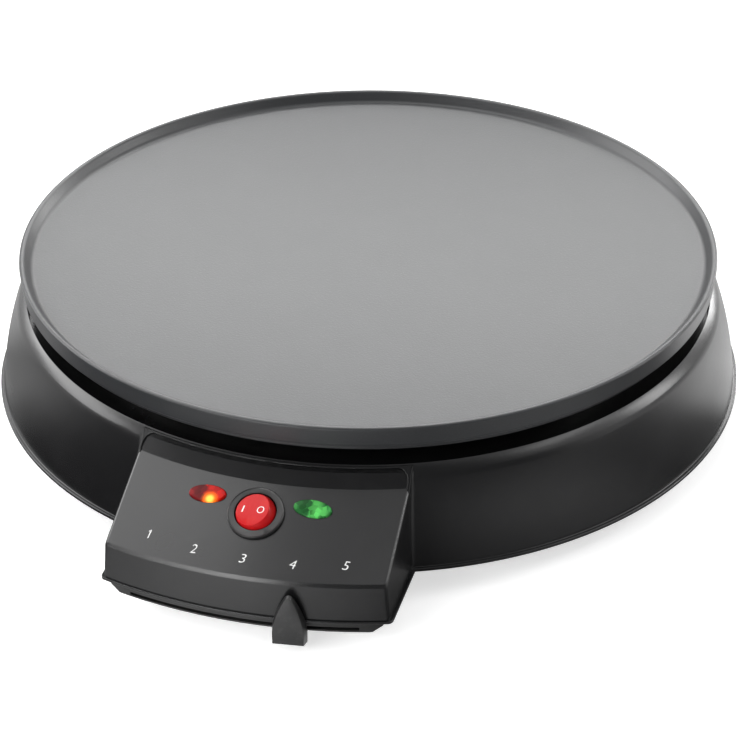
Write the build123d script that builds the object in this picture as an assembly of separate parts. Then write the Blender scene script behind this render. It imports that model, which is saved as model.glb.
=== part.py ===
from build123d import *
import os
from math import asin, atan, cos, degrees, radians, sin, sqrt, tan

os.makedirs("parts", exist_ok=True)

# Electric crepe maker. Lengths are in millimetres and angles in degrees. The plate's axis is Z, heights
# count from the worktop, and the control panel faces -Y. Angles round the plate count from the panel's
# middle, towards +X. The finished pieces are moved so that the origin is the middle of the footprint.

# ------------------------------------------------------------------ driving sizes: heights
FOOT_H = 6.0  # worktop to the underside of the base cover
COVER_HANG = 6.0  # underside of the base cover to the housing's lip
HOUSING_H = 43.9  # lip to the top of the housing's shoulder
PLATE_GAP = 5.6  # shadow gap between the shoulder and the hotplate's skirt
SKIRT_H = 3.5  # skirt under the rim
RIM_H = 9.0  # rim's side

# ------------------------------------------------------------------ driving sizes: hotplate
RIM_R = 155.0
RIM_DRAFT = 1.0
RIM_LAND = 2.3  # flat top of the rim
RIM_SLOPE = 3.0  # rim's inside slope, as seen from above
RIM_CHAMFER = 0.7
PAN_DEPTH = 4.5
PLATE_T = 5.0
SKIRT_INSET = 3.0  # skirt's outside, behind the rim's lower edge
SKIRT_T = 5.0
CASTING_H = 4.5  # rib, pad and bosses stand this far out of the underside
PAD_R = 31.0
ELEMENT_LOOP_R = 85.0
ELEMENT_HALF = 3.1  # half the height of the element's section
ELEMENT_SINK = 2.2  # element's middle, below the plate's underside
ELEMENT_ARC_ANGLE = 318.0
RIB_WALL = 3.2
GROOVE_FIT = 0.05
STUB_DROP = 9.0  # element's ends reach this far below the reflector
PLATE_BOSS_R = 6.0
PLATE_SCREW_CIRCLE = 108.0
PLATE_SCREW_ANGLES = (45.0, 135.0, 225.0, 315.0)

# ------------------------------------------------------------------ driving sizes: housing
LIP_OUT = 12.1  # rim's outside to the housing's lip
LIP_T = 1.5
LIP_PROUD = 1.7
PANEL_LIP_PROUD = 1.2
WALL_BULGE = 1.3
SHOULDER_GAP = 2.3  # rim's outside to the shoulder's inner edge
SHOULDER_W = 4.3
SHOULDER_H = 4.4
SHOULDER_CROWN = 0.3
WALL_BAND_COUNT = 4  # straight bands in the wall's swell
SHOULDER_BAND_COUNT = 4
ROUND_BAND_COUNT = 6
SHELL_WALL = 2.5
DECK_DROP = 8.9  # shoulder to the deck under the hotplate
DECK_LAND = 11.0  # deck inside the circle of plate screws
DECK_BEAD_H = 2.0
DECK_BEAD_T = 1.6
PANEL_REACH = 34.6  # bell's wall to the front edge of the panel's top face
CREASE_IN = 5.0  # bell's wall to the back edge of the panel's top face
PANEL_SLOPE = 26.0
CREASE_DROP = 7.19  # shoulder to the back edge of the panel's top face
PANEL_FACE_DRAFT = 0.8
PANEL_HALF_LOW = 60.0  # half the panel's width at the lip
PANEL_SIDE_ANGLE = 3.8  # lean of the panel's sides
PANEL_SPAN_ANGLE = 90.0  # arc from which the panel's rings are cut
PANEL_EDGE_ROUND = 0.8
BROW_PROUD = 0.8  # frame round the recess, in front of the panel's back edge
BROW_BEND_IN = 2.6  # panel's back edge to the frame's bend
BROW_BEND_DROP = 3.6  # shoulder to the frame's bend
BROW_TOP_IN = 6.4  # panel's back edge to the frame's upper edge
BROW_TOP_DROP = 0.2
RECESS_TOP_DROP = 0.9  # shoulder to the recess's upper edge
RECESS_TOP_IN = 7.5  # panel's back edge to the recess's upper edge
RECESS_CORNER = 5.0
PILLAR_R = 4.0
SIDE_PILLAR_IN = 25.4  # bell's wall to the pillars at the sides and the back
SIDE_PILLAR_ANGLES = (75.0, 138.0)
PANEL_PILLAR_IN = 28.0  # panel's front edge to its pillars
PANEL_PILLAR_ANGLE = 15.3
PILOT_DEPTH = 12.0

# ------------------------------------------------------------------ driving sizes: base cover and feet
COVER_T = 1.6
DISH_SLOPE_W = 7.0
COVER_SKIRT = 2.6  # upstand inside the housing, above the lip
TONGUE_INSET = 2.5  # tongue's front, behind the panel's lip
TONGUE_SLOPE_W = 5.2
TONGUE_SLOPE_H = 4.0
TONGUE_CHAMFER = 1.0
VENT_COUNT = 16
VENT_W = 3.0
VENT_L = 24.0
VENT_R = 62.0
FOOT_R = 9.0
FOOT_STEM_R = 3.0
FOOT_HEAD_R = 4.5
FOOT_HEAD_H = 2.0
FOOT_IN = 27.4  # bell's wall to a foot's middle
FOOT_ANGLES = (36.0, 146.0)

# ------------------------------------------------------------------ driving sizes: screws and standoffs
M4_R = 1.95
M4_HEAD_R = 4.0
M4_HEAD_H = 2.4
M4_HOLE = 0.35  # clearance round a screw, on the radius
THREAD_FIT = 0.05  # a screw in its own thread
M4_BITE = 5.0
COVER_SCREW_R = 1.45
COVER_SCREW_HEAD_R = 3.2
COVER_SCREW_HEAD_H = 2.0
STANDOFF_WALL = 2.2
REFLECTOR_T = 0.8
REFLECTOR_CLEAR = 1.2
REFLECTOR_EDGE = 11.0  # reflector outside the circle of plate screws
REFLECTOR_RIM_H = 4.5

# ------------------------------------------------------------------ driving sizes: thermostat
THERMO_L = 54.0
THERMO_W = 20.0
THERMO_T = 1.2
THERMO_SCREW_X = 22.0
OPENING_CLEAR = 3.0  # reflector's opening round the thermostat's plate
FRAME_L = 34.0
FRAME_W = 14.0
FRAME_T = 1.2
FRAME_H = 20.0
STACK_X = 10.0
STACK_R = 4.0
STACK_RING_H = 3.0
BLADE_T = 0.5
BLADE_W = 6.0
BLADE_TAIL = 4.0
BLADE_REACH = 8.0  # blades past the spindle's axis
CONTACT_R = 1.5
CONTACT_H = 1.1
RIVET_R = 1.3
RIVET_HEAD_R = 2.6
RIVET_HEAD_H = 0.8
SPINDLE_R = 2.5
RUNNING_FIT = 0.05
BUSH_WALL = 1.5
BUSH_FLANGE = 2.0
BUSH_FLANGE_H = 1.5
BUSH_L = 6.0  # barrel below the frame
COLLAR_W = 1.7
COLLAR_H = 1.5
CIRCLIP_W = 1.6
CIRCLIP_T = 0.8
END_PLAY = 0.1
FLAT_DEPTH = 0.6  # flat on the spindle's end, in the arm's hole

# ------------------------------------------------------------------ driving sizes: lever
ARM_T = 0.8
ARM_W = 8.0
ARM_GAP = 0.3  # arm above the cover's floor, and below the slot's roof
ARM_HUB_R = 8.0
ARM_CRANK = 7.0  # hub above the rest of the arm
ARM_CRANK_AT = 14.0
ARM_CRANK_W = 10.0
SLOT_SIDE = 2.0  # slot past the arm at each end of its travel
SETTINGS = 5
SETTING_ANGLE = 6.1
SETTING_AT_REST = 4
KNOB_CLEAR = 0.6
KNOB_DEPTH = 4.4
KNOB_TIP_DEPTH = 1.2
KNOB_H = 23.1
KNOB_BELOW_ARM = 4.6
KNOB_W = 14.5
KNOB_FOOT_W = 14.3
KNOB_WIDE_AT = 5.5
KNOB_ARCH = 1.3
KNOB_CROWN = 0.8
KNOB_TAPER_ANGLE = 11.0
KNOB_TIP_ROUND = 1.7
KNOB_BITE = 2.4  # arm inside the knob

# ------------------------------------------------------------------ driving sizes: switch and lamps
SWITCH_IN = 26.4  # panel's front edge to the switch's middle
BEZEL_R = 11.6
BEZEL_H = 1.8
BEZEL_CHAMFER = 0.7
BARREL_R = 9.85
PANEL_HOLE_FIT = 0.15
WELL_R = 8.7
WELL_DEPTH = 6.5
CHAMBER_R = 8.0
CHAMBER_DEPTH = 13.2
SWITCH_FLOOR = 1.2
LATCH_W = 5.0
LATCH_H = 3.0
LATCH_PROUD = 1.0
LATCH_PLAY = 0.35
ROCKER_R = 8.4
ROCKER_PIVOT = 0.9  # pivot below the panel's face
ROCKER_TOP = 4.6  # rocker's top above its pivot
ROCKER_UNDER = 3.4
ROCKER_TILT = 12.0
ROCKER_DISH = 0.5
PIVOT_PIN_R = 1.2
PIVOT_PIN_END = 9.6
STEM_R = 2.3
STEM_END = 6.2
PLUNGER_R = 1.3
PLUNGER_BACK = 4.2
SPRING_END = 1.6
BRIDGE_BELOW = 10.6  # bridge's axis below the rocker's pivot
BRIDGE_T = 0.6
BRIDGE_L = 11.0
BRIDGE_W = 4.0
BRIDGE_TILT = 5.0
BRIDGE_FIT = 0.15
TERMINAL_T = 0.8
TERMINAL_W = 4.8
TERMINAL_L = 8.0
TERMINAL_PITCH = 5.0
LENS_IN = 30.8  # panel's front edge to a lens's middle
LENS_ANGLE = 7.49
LENS_HALF_L = 7.9
LENS_HALF_W = 4.0
LENS_PROUD = 0.9
LENS_FLANGE = 1.5
LENS_FLANGE_H = 1.6
LENS_FIT = 0.15
LAMP_R = 2.9
LAMP_L = 12.0
LAMP_FIT = 0.1
HOLDER_WALL = 1.4
HOLDER_L = 8.0

# ------------------------------------------------------------------ driving sizes: electrical fittings
INLET_H = 13.0  # inlet's axis above the lip
INLET_BORE_R = 3.75
INLET_WALL = 2.25
INLET_FLANGE = 2.5
INLET_FLANGE_T = 1.8
INLET_PAD_EDGE = 1.6  # flat pad round the flange
INLET_PAD_T = 6.5
INLET_FIT = 0.1
INLET_SNAP = 0.9
INLET_SNAP_L = 1.4
BLOCK_L = 30.0
BLOCK_W = 16.0
BLOCK_H = 12.0
BLOCK_IN = 53.4  # bell's wall to the block's middle
BLOCK_AT_ANGLE = 168.0
BLOCK_POLES = 3
BLOCK_SCREW_R = 2.4
BLOCK_WIRE_R = 2.0
BLOCK_WELL_DEPTH = 8.0
FUSE_AT_R = 53.0
FUSE_R = 2.1
FUSE_L = 16.0
FUSE_CLIP_T = 0.8
FUSE_CLIP_W = 8.0
FUSE_FOOT_L = 9.0
FUSE_FIT = 0.05
FUSE_SCREW_R = 1.4
FUSE_SCREW_HEAD_R = 2.8
FUSE_SCREW_HEAD_H = 1.2
FUSE_SCREW_BITE = 3.0
EARTH_AT_R = 58.0
EARTH_AT_ANGLE = 225.0
EARTH_BOSS_R = 5.0
EARTH_DROP = 3.0  # earth boss below the reflector
EARTH_HOLE_EDGE = 2.0
TAB_T = 0.8
TAB_W = 6.3
TAB_L = 12.0
SEAL_H = 2.5

# ------------------------------------------------------------------ heights worked out from them
Z_COVER = FOOT_H
Z_FLOOR = Z_COVER + COVER_T
Z_LIP = Z_COVER + COVER_HANG
Z_SHOULDER = Z_LIP + HOUSING_H
Z_SKIRT = Z_SHOULDER + PLATE_GAP
Z_RIM_LOW = Z_SKIRT + SKIRT_H
Z_RIM = Z_RIM_LOW + RIM_H
Z_PAN = Z_RIM - PAN_DEPTH
Z_UNDER = Z_PAN - PLATE_T
Z_CASTING = Z_UNDER - CASTING_H
Z_ELEMENT = Z_UNDER - ELEMENT_SINK
Z_REFLECTOR_TOP = Z_ELEMENT - ELEMENT_HALF - REFLECTOR_CLEAR
Z_REFLECTOR = Z_REFLECTOR_TOP - REFLECTOR_T
Z_DECK = Z_SHOULDER - DECK_DROP
Z_DECK_LOW = Z_DECK - SHELL_WALL
Z_ARM = Z_FLOOR + ARM_GAP
Z_ARM_TOP = Z_ARM + ARM_T
Z_HUB = Z_ARM + ARM_CRANK
Z_HUB_TOP = Z_HUB + ARM_T
Z_SLOT_TOP = Z_ARM_TOP + ARM_GAP
Z_KNOB = Z_ARM + ARM_T / 2 - KNOB_BELOW_ARM
Z_THERMO = Z_CASTING - THERMO_T
Z_FRAME = Z_THERMO - FRAME_H
Z_BUSH_END = Z_FRAME - FRAME_T - BUSH_L
Z_INLET = Z_LIP + INLET_H

PLUNGER_TIP = BRIDGE_BELOW - BRIDGE_T / 2 - BRIDGE_FIT

# ------------------------------------------------------------------ plan sizes worked out from them
PAN_R = RIM_R - RIM_LAND - RIM_SLOPE
RIM_LOW_R = RIM_R - RIM_DRAFT
LIP_R = RIM_R + LIP_OUT
SKIRT_R = RIM_LOW_R - SKIRT_INSET
WALL_R = LIP_R - LIP_PROUD
SHOULDER_R = RIM_R - SHOULDER_GAP
DECK_R = PLATE_SCREW_CIRCLE - DECK_LAND
PANEL_R = WALL_R + PANEL_REACH
PANEL_CREASE_R = WALL_R - CREASE_IN
Z_PANEL_FRONT = Z_SHOULDER - CREASE_DROP - (PANEL_R - PANEL_CREASE_R) * tan(radians(PANEL_SLOPE))
RECESS_TOP_R = PANEL_CREASE_R - RECESS_TOP_IN
SWITCH_AT_R = PANEL_R - SWITCH_IN
BLOCK_AT_R = WALL_R - BLOCK_IN
LENS_AT_R = PANEL_R - LENS_IN
PANEL_LOW_R = PANEL_R + PANEL_FACE_DRAFT
PANEL_LIP_R = PANEL_LOW_R + PANEL_LIP_PROUD
COVER_FIT = 0.3
WALL_LEAN = (WALL_R - SHOULDER_R - SHOULDER_W) / (HOUSING_H - SHOULDER_H)
COVER_R = WALL_R - SHELL_WALL - COVER_FIT - COVER_SKIRT * WALL_LEAN
TONGUE_R = PANEL_LIP_R - TONGUE_INSET
TONGUE_SKIRT_R = PANEL_LOW_R - SHELL_WALL - COVER_FIT
KNOB_BACK_R = PANEL_LIP_R + KNOB_CLEAR
KNOB_FRONT_R = KNOB_BACK_R + KNOB_DEPTH
LEVER_TRAVEL = (SETTINGS - 1) * SETTING_ANGLE
LEVER_REST = (SETTING_AT_REST - 1) * SETTING_ANGLE - LEVER_TRAVEL / 2
STANDOFF_BORE_R = M4_R + M4_HOLE
PILLAR_SPOTS = [(WALL_R - SIDE_PILLAR_IN, angle) for angle in SIDE_PILLAR_ANGLES]
PILLAR_SPOTS += [(PANEL_R - PANEL_PILLAR_IN, PANEL_PILLAR_ANGLE)]
FOOT_SPOTS = [(WALL_R - FOOT_IN, angle) for angle in FOOT_ANGLES]
EARTH_AT = (EARTH_AT_R, EARTH_AT_ANGLE)
OUT = 20.0  # how far a cutting tool runs past what it cuts
FOOTPRINT_SHIFT = (KNOB_FRONT_R - LIP_R) / 2


# ------------------------------------------------------------------ shared shapes
def outline(*points):
    """A flat face inside a closed outline of radii and heights, in the plane through the axis."""
    return make_face(Plane.XZ * Polyline(*points, close=True))


def face_of(*edges):
    """A face in the plane through the axis, inside edges drawn as radius and height."""
    return make_face(Plane.XZ * Curve(children=list(edges)))


def bowed(start, end, sag, steps):
    """Points from start to end along a bow that swells to the right of that way, without the last."""
    run, rise = end[0] - start[0], end[1] - start[1]
    span = sqrt(run**2 + rise**2)
    half = 2 * atan(2 * sag / span)
    radius = span / 2 / sin(half)
    points = []
    for index in range(steps):
        turn = half * (2 * index / steps - 1)
        along = 0.5 + radius * sin(turn) / span
        swell = radius * (cos(turn) - cos(half)) / span
        points.append((start[0] + run * along + rise * swell, start[1] + rise * along - run * swell))
    return points


def turned(face, arc=360.0):
    """A face turned about the plate's axis. A part turn is centred on the panel's middle."""
    solid = revolve(face, axis=Axis.Z, revolution_arc=arc)
    return solid if arc == 360.0 else Rot(0, 0, -90 - arc / 2) * solid


def around(radius, angle, z=0.0):
    """A place at a radius and angle round the plate, with its own Y axis pointing to the plate's middle."""
    return Rot(0, 0, angle) * Pos(0, -radius, z)


def disc(radius, z_low, z_high):
    """An upright cylinder between two heights."""
    return Pos(0, 0, (z_low + z_high) / 2) * Cylinder(radius, z_high - z_low)


def tube(radius, bore, z_low, z_high):
    """An upright tube between two heights."""
    return disc(radius, z_low, z_high) - disc(bore, z_low - OUT, z_high + OUT)


def block(x, y, z):
    """A box between two limits on each axis."""
    size = (x[1] - x[0], y[1] - y[0], z[1] - z[0])
    return Pos((x[0] + x[1]) / 2, (y[0] + y[1]) / 2, (z[0] + z[1]) / 2) * Box(*size)


def mirrored(spots):
    """Each radius and angle, with its twin on the other side of the panel's middle."""
    return [(radius, side * angle) for radius, angle in spots for side in (1, -1)]


def cone_height(radius):
    """Height of the panel's top face, a cone about the plate's axis."""
    return Z_PANEL_FRONT + (PANEL_R - radius) * tan(radians(PANEL_SLOPE))


def on_panel(radius, angle):
    """A place on the panel's top face, with Z square to the face and Y up the slope."""
    return around(radius, angle, cone_height(radius)) * Rot(PANEL_SLOPE, 0, 0)


def together(shapes):
    """Separate solids kept in one node."""
    return Compound([solid for shape in shapes for solid in shape.solids()])


def save(name, shape):
    """Writes one node, moved so that the origin is the middle of the footprint."""
    export_step(Pos(0, FOOTPRINT_SHIFT, 0) * shape, f"parts/{name}.step")


# ------------------------------------------------------------------ hotplate and its element
def element_section(grow):
    """The element's section, pressed to six sides, grown all round for its groove."""
    half = ELEMENT_HALF + grow
    middle, side = ELEMENT_LOOP_R, half * 2 / sqrt(3)
    return [
        (middle - side, Z_ELEMENT),
        (middle - side / 2, Z_ELEMENT + half),
        (middle + side / 2, Z_ELEMENT + half),
        (middle + side, Z_ELEMENT),
    ], [(middle + side / 2, Z_ELEMENT - half), (middle - side / 2, Z_ELEMENT - half)]


def hotplate():
    """Cast plate: pan and rim above, skirt, element rib, thermostat pad and bosses below."""
    groove = element_section(GROOVE_FIT)[0]
    rib_in, rib_out = groove[0][0] - RIB_WALL, groove[-1][0] + RIB_WALL
    section = outline(
        (0, Z_PAN),
        (PAN_R, Z_PAN),
        (PAN_R + RIM_SLOPE, Z_RIM),
        (RIM_R - RIM_CHAMFER, Z_RIM),
        (RIM_R, Z_RIM - RIM_CHAMFER),
        (RIM_LOW_R, Z_RIM_LOW),
        (SKIRT_R, Z_RIM_LOW),
        (SKIRT_R, Z_SKIRT + RIM_CHAMFER),
        (SKIRT_R - RIM_CHAMFER, Z_SKIRT),
        (SKIRT_R - SKIRT_T, Z_SKIRT),
        (SKIRT_R - SKIRT_T, Z_UNDER),
        (rib_out, Z_UNDER),
        (rib_out, Z_CASTING),
        (groove[-1][0], Z_CASTING),
        *reversed(groove),
        (groove[0][0], Z_CASTING),
        (rib_in, Z_CASTING),
        (rib_in, Z_UNDER),
        (0, Z_UNDER),
    )
    plate = turned(section) + disc(PAD_R, Z_CASTING, Z_UNDER)
    plate += around(*EARTH_AT) * disc(EARTH_BOSS_R, Z_REFLECTOR - EARTH_DROP, Z_UNDER)
    plate -= around(*EARTH_AT) * disc(M4_R + THREAD_FIT, Z_REFLECTOR - EARTH_DROP - OUT, Z_UNDER)
    for angle in PLATE_SCREW_ANGLES:
        spot = around(PLATE_SCREW_CIRCLE, angle)
        plate += spot * disc(PLATE_BOSS_R, Z_REFLECTOR_TOP, Z_UNDER)
        plate -= spot * disc(M4_R + THREAD_FIT, Z_REFLECTOR_TOP - OUT, Z_REFLECTOR_TOP + M4_BITE)
    for side in (1, -1):
        hole = disc(M4_R + THREAD_FIT, Z_CASTING - OUT, Z_UNDER)
        plate -= Pos(side * THERMO_SCREW_X, 0, 0) * hole
    hole = disc(FUSE_SCREW_R + THREAD_FIT, Z_UNDER - OUT, Z_UNDER + FUSE_SCREW_BITE)
    plate -= around(FUSE_AT_R, 180) * Pos(0, fuse_screw_offset(), 0) * hole
    return plate


def element_ends():
    """The two places where the element's ends turn down, either side of the back."""
    return [around(ELEMENT_LOOP_R, side * ELEMENT_ARC_ANGLE / 2) for side in (1, -1)]


def heating_element():
    """Tubular element: an open loop with both ends turned down through the reflector."""
    top, bottom = element_section(0)
    loop = turned(outline(*top, *bottom), ELEMENT_ARC_ANGLE)
    for end in element_ends():
        loop += end * disc(ELEMENT_HALF, Z_REFLECTOR - STUB_DROP, Z_ELEMENT)
    return loop


def element_seals():
    """Ceramic beads that close the element's ends."""
    top = Z_REFLECTOR - STUB_DROP
    return together(end * disc(ELEMENT_HALF, top - SEAL_H, top) for end in element_ends())


def element_tabs():
    """Push-on tabs on the element's ends."""
    top = Z_REFLECTOR - STUB_DROP - SEAL_H
    tab = block((-TAB_T / 2, TAB_T / 2), (-TAB_W / 2, TAB_W / 2), (top - TAB_L, top))
    return together(end * tab for end in element_ends())


def heat_reflector():
    """Sheet metal dish under the element, clamped between the plate's bosses and the standoffs."""
    edge = PLATE_SCREW_CIRCLE + REFLECTOR_EDGE
    rim_top = Z_REFLECTOR + REFLECTOR_RIM_H
    dish = turned(
        outline(
            (0, Z_REFLECTOR),
            (edge, Z_REFLECTOR),
            (edge + REFLECTOR_RIM_H, rim_top),
            (edge + REFLECTOR_RIM_H - REFLECTOR_T, rim_top + REFLECTOR_T),
            (edge - REFLECTOR_T / 2, Z_REFLECTOR_TOP),
            (0, Z_REFLECTOR_TOP),
        )
    )
    half_l, half_w = THERMO_L / 2 + OPENING_CLEAR, THERMO_W / 2 + OPENING_CLEAR
    span = (Z_REFLECTOR - OUT, Z_REFLECTOR_TOP + OUT)
    dish -= block((-half_l, half_l), (-half_w, half_w), span)
    dish -= around(*EARTH_AT) * disc(EARTH_BOSS_R + EARTH_HOLE_EDGE, *span)
    for end in element_ends():
        dish -= end * disc(ELEMENT_HALF + OPENING_CLEAR / 2, *span)
    for angle in PLATE_SCREW_ANGLES:
        dish -= around(PLATE_SCREW_CIRCLE, angle) * disc(STANDOFF_BORE_R, *span)
    return dish


def plate_standoffs():
    """Steel tubes that hold the hotplate off the housing's deck."""
    sleeve = tube(STANDOFF_BORE_R + STANDOFF_WALL, STANDOFF_BORE_R, Z_DECK, Z_REFLECTOR)
    return together(around(PLATE_SCREW_CIRCLE, angle) * sleeve for angle in PLATE_SCREW_ANGLES)


def screw(radius, head_radius, head_h, z_seat, z_tip):
    """A screw that points up, with its head under the seat."""
    return disc(radius, z_seat, z_tip) + disc(head_radius, z_seat - head_h, z_seat)


def plate_screws():
    """Screws up through the deck, the standoffs and the reflector into the hotplate's bosses."""
    tip = Z_REFLECTOR_TOP + M4_BITE - M4_HOLE
    one = screw(M4_R, M4_HEAD_R, M4_HEAD_H, Z_DECK_LOW, tip)
    return together(around(PLATE_SCREW_CIRCLE, angle) * one for angle in PLATE_SCREW_ANGLES)


# ------------------------------------------------------------------ housing
def wall_ends(inset):
    """The foot and the top of the bell's wall, on its outside or set in by a wall."""
    return (WALL_R - inset, Z_LIP), (SHOULDER_R + SHOULDER_W - inset, Z_SHOULDER - SHOULDER_H)


def bell():
    """Outside of the round body, with its lip, shoulder, well and deck left solid inside."""
    foot, top = wall_ends(0)
    inner_top = (SHOULDER_R, Z_SHOULDER)
    section = outline(
        (LIP_R, Z_LIP),
        (LIP_R, Z_LIP + LIP_T),
        *bowed((foot[0], Z_LIP + LIP_T), top, WALL_BULGE, WALL_BAND_COUNT),
        *bowed(top, inner_top, SHOULDER_CROWN, SHOULDER_BAND_COUNT),
        inner_top,
        (SHOULDER_R, Z_DECK),
        (DECK_R, Z_DECK),
        (DECK_R, Z_LIP),
    )
    return turned(section)


def bell_hollow():
    """The space inside the round body, under its deck."""
    foot, top = wall_ends(SHELL_WALL)
    wall = bowed(foot, top, WALL_BULGE, WALL_BAND_COUNT // 2)
    cut = turned(outline((0, Z_LIP - OUT), (foot[0], Z_LIP - OUT), *wall, top, (0, top[1])))
    return cut & disc(LIP_R, Z_LIP - OUT, Z_DECK_LOW)


def between_sides(half_low, draft, z_high):
    """Everything between the panel's two sides, which lean together towards the top."""
    half_high = half_low - (z_high - Z_LIP) * tan(radians(draft))
    sides = Polyline(
        (-half_low, Z_LIP), (half_low, Z_LIP), (half_high, z_high), (-half_high, z_high), close=True
    )
    return extrude(make_face(Plane.XZ * sides), amount=PANEL_R + OUT * 2)


def panel_wedge(inset):
    """The panel's body: sloping top, drafted front and sides, all set in by a wall if inset."""
    fall = inset / cos(radians(PANEL_SLOPE))
    back = PANEL_CREASE_R - OUT if inset else (SHOULDER_R + PANEL_CREASE_R) / 2
    top_back = cone_height(PANEL_CREASE_R) - fall
    if inset:
        top_back = min(top_back, Z_DECK_LOW)
    crease = PANEL_R - (top_back + fall - Z_PANEL_FRONT) / tan(radians(PANEL_SLOPE))
    front_r = PANEL_R - inset
    section = outline(
        (back, Z_LIP),
        (PANEL_LOW_R - inset, Z_LIP),
        (front_r, cone_height(front_r) - fall),
        (crease, top_back),
        (back, top_back),
    )
    return turned(section, PANEL_SPAN_ANGLE) & between_sides(PANEL_HALF_LOW - inset, PANEL_SIDE_ANGLE, Z_SHOULDER)


def brow():
    """The frame that runs up from the panel's back edge to the shoulder, still without its recess."""
    bend = (PANEL_CREASE_R - BROW_BEND_IN, Z_SHOULDER - BROW_BEND_DROP)
    low_r, low = PANEL_CREASE_R + BROW_PROUD, cone_height(PANEL_CREASE_R + BROW_PROUD)
    lean = (low_r - bend[0]) / (bend[1] - low)
    back, top = SHOULDER_R + BROW_PROUD, Z_SHOULDER - BROW_TOP_DROP
    section = outline(
        (back, low - SHELL_WALL),
        (low_r + lean * SHELL_WALL, low - SHELL_WALL),
        bend,
        (PANEL_CREASE_R - BROW_TOP_IN, top),
        (back, top - BROW_PROUD),
    )
    return turned(section, PANEL_SPAN_ANGLE) & between_sides(PANEL_HALF_LOW, PANEL_SIDE_ANGLE, Z_SHOULDER)


def panel_lip():
    """The thin lip round the panel's foot."""
    section = outline(
        (PANEL_CREASE_R - OUT, Z_LIP),
        (PANEL_LIP_R, Z_LIP),
        (PANEL_LIP_R, Z_LIP + LIP_T),
        (PANEL_CREASE_R - OUT, Z_LIP + LIP_T),
    )
    return turned(section, PANEL_SPAN_ANGLE) & between_sides(PANEL_HALF_LOW + LIP_PROUD, 0, Z_SHOULDER)


def recess():
    """What is cut from the shoulder above the panel's back edge, with two rounded upper corners.
    It goes on down a little, inside the panel's own body."""
    far = PANEL_CREASE_R + OUT
    z_top = Z_SHOULDER - RECESS_TOP_DROP
    z_low = cone_height(PANEL_CREASE_R) - SHELL_WALL
    lean = (PANEL_CREASE_R - RECESS_TOP_R) / (Z_SHOULDER - cone_height(PANEL_CREASE_R))
    section = outline(
        (PANEL_CREASE_R + lean * SHELL_WALL, z_low),
        (RECESS_TOP_R, Z_SHOULDER),
        (far, Z_SHOULDER),
        (far, z_low),
    )
    half = PANEL_HALF_LOW - (z_top - Z_LIP) * tan(radians(PANEL_SIDE_ANGLE)) - BROW_PROUD
    window = Rectangle(2 * half, 2 * (z_top - Z_LIP))
    window = Pos(0, Z_LIP) * fillet(window.vertices().group_by(Axis.Y)[-1], RECESS_CORNER)
    slab = extrude(Plane.XZ * window, amount=PANEL_R + OUT)
    return turned(section, PANEL_SPAN_ANGLE) & slab


def lens_place(side):
    """A lens's place on the panel, with its long axis kept parallel to the panel's front."""
    return on_panel(LENS_AT_R, side * LENS_ANGLE) * Rot(0, 0, -side * LENS_ANGLE)


def oval(grow, low, high):
    """An oval prism of the lens's outline, between two heights above the panel's face."""
    return Pos(0, 0, low) * extrude(Ellipse(LENS_HALF_L + grow, LENS_HALF_W + grow), amount=high - low)


def pillar_top(radius):
    """Where a pillar meets the roof above it: the deck, or the panel's top face."""
    under_panel = cone_height(radius + PILLAR_R) - SHELL_WALL / 2
    return Z_DECK_LOW + SHELL_WALL / 2 if radius < SHOULDER_R - PILLAR_R else under_panel


def inlet_pad():
    """Flat seat for the inlet's bush, through the back wall."""
    radius = INLET_BORE_R + INLET_WALL + INLET_FLANGE + INLET_PAD_EDGE
    face = LIP_R - INLET_FLANGE_T
    return Pos(0, face - INLET_PAD_T / 2, Z_INLET) * Rot(90, 0, 0) * Cylinder(radius, INLET_PAD_T)


def upper_housing():
    """Moulded shell: bell, panel, deck with a drip bead, screw pillars and the fittings' holes."""
    outside = bell() + brow() - recess() + panel_wedge(0)
    edges = outside.edges().filter_by(lambda edge: on_panel_rim(edge))
    outside = fillet(edges, PANEL_EDGE_ROUND) + panel_lip()
    shell = outside - bell_hollow() - panel_wedge(SHELL_WALL)
    shell -= panel_mouth()
    shell += tube(DECK_R + DECK_BEAD_T, DECK_R, Z_DECK_LOW, Z_DECK + DECK_BEAD_H)
    shell += inlet_pad()
    for radius, angle in mirrored(PILLAR_SPOTS):
        spot = around(radius, angle)
        shell += spot * disc(PILLAR_R, Z_FLOOR, pillar_top(radius))
        shell -= spot * disc(COVER_SCREW_R + THREAD_FIT, Z_FLOOR - OUT, Z_FLOOR + PILOT_DEPTH)
    for angle in PLATE_SCREW_ANGLES:
        shell -= around(PLATE_SCREW_CIRCLE, angle) * disc(STANDOFF_BORE_R, Z_DECK_LOW - OUT, Z_DECK + OUT)
    hole = Cylinder(BARREL_R + PANEL_HOLE_FIT, OUT)
    shell -= on_panel(SWITCH_AT_R, 0) * hole
    for side in (1, -1):
        shell -= lens_place(side) * oval(LENS_FIT, -OUT / 2, OUT / 2)
    bore = Rot(90, 0, 0) * Cylinder(INLET_BORE_R + INLET_WALL + INLET_FIT, 2 * OUT)
    return shell - Pos(0, LIP_R, Z_INLET) * bore


def panel_mouth():
    """The open underside of the panel, below its lip's top."""
    section = outline(
        (PANEL_CREASE_R - OUT, Z_LIP - OUT),
        (PANEL_LOW_R - SHELL_WALL, Z_LIP - OUT),
        (PANEL_LOW_R - SHELL_WALL, Z_LIP),
        (PANEL_CREASE_R - OUT, Z_LIP),
    )
    half = PANEL_HALF_LOW - SHELL_WALL
    return turned(section, PANEL_SPAN_ANGLE) & block((-half, half), (-PANEL_R - OUT, 0), (Z_LIP - OUT, Z_LIP))


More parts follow.
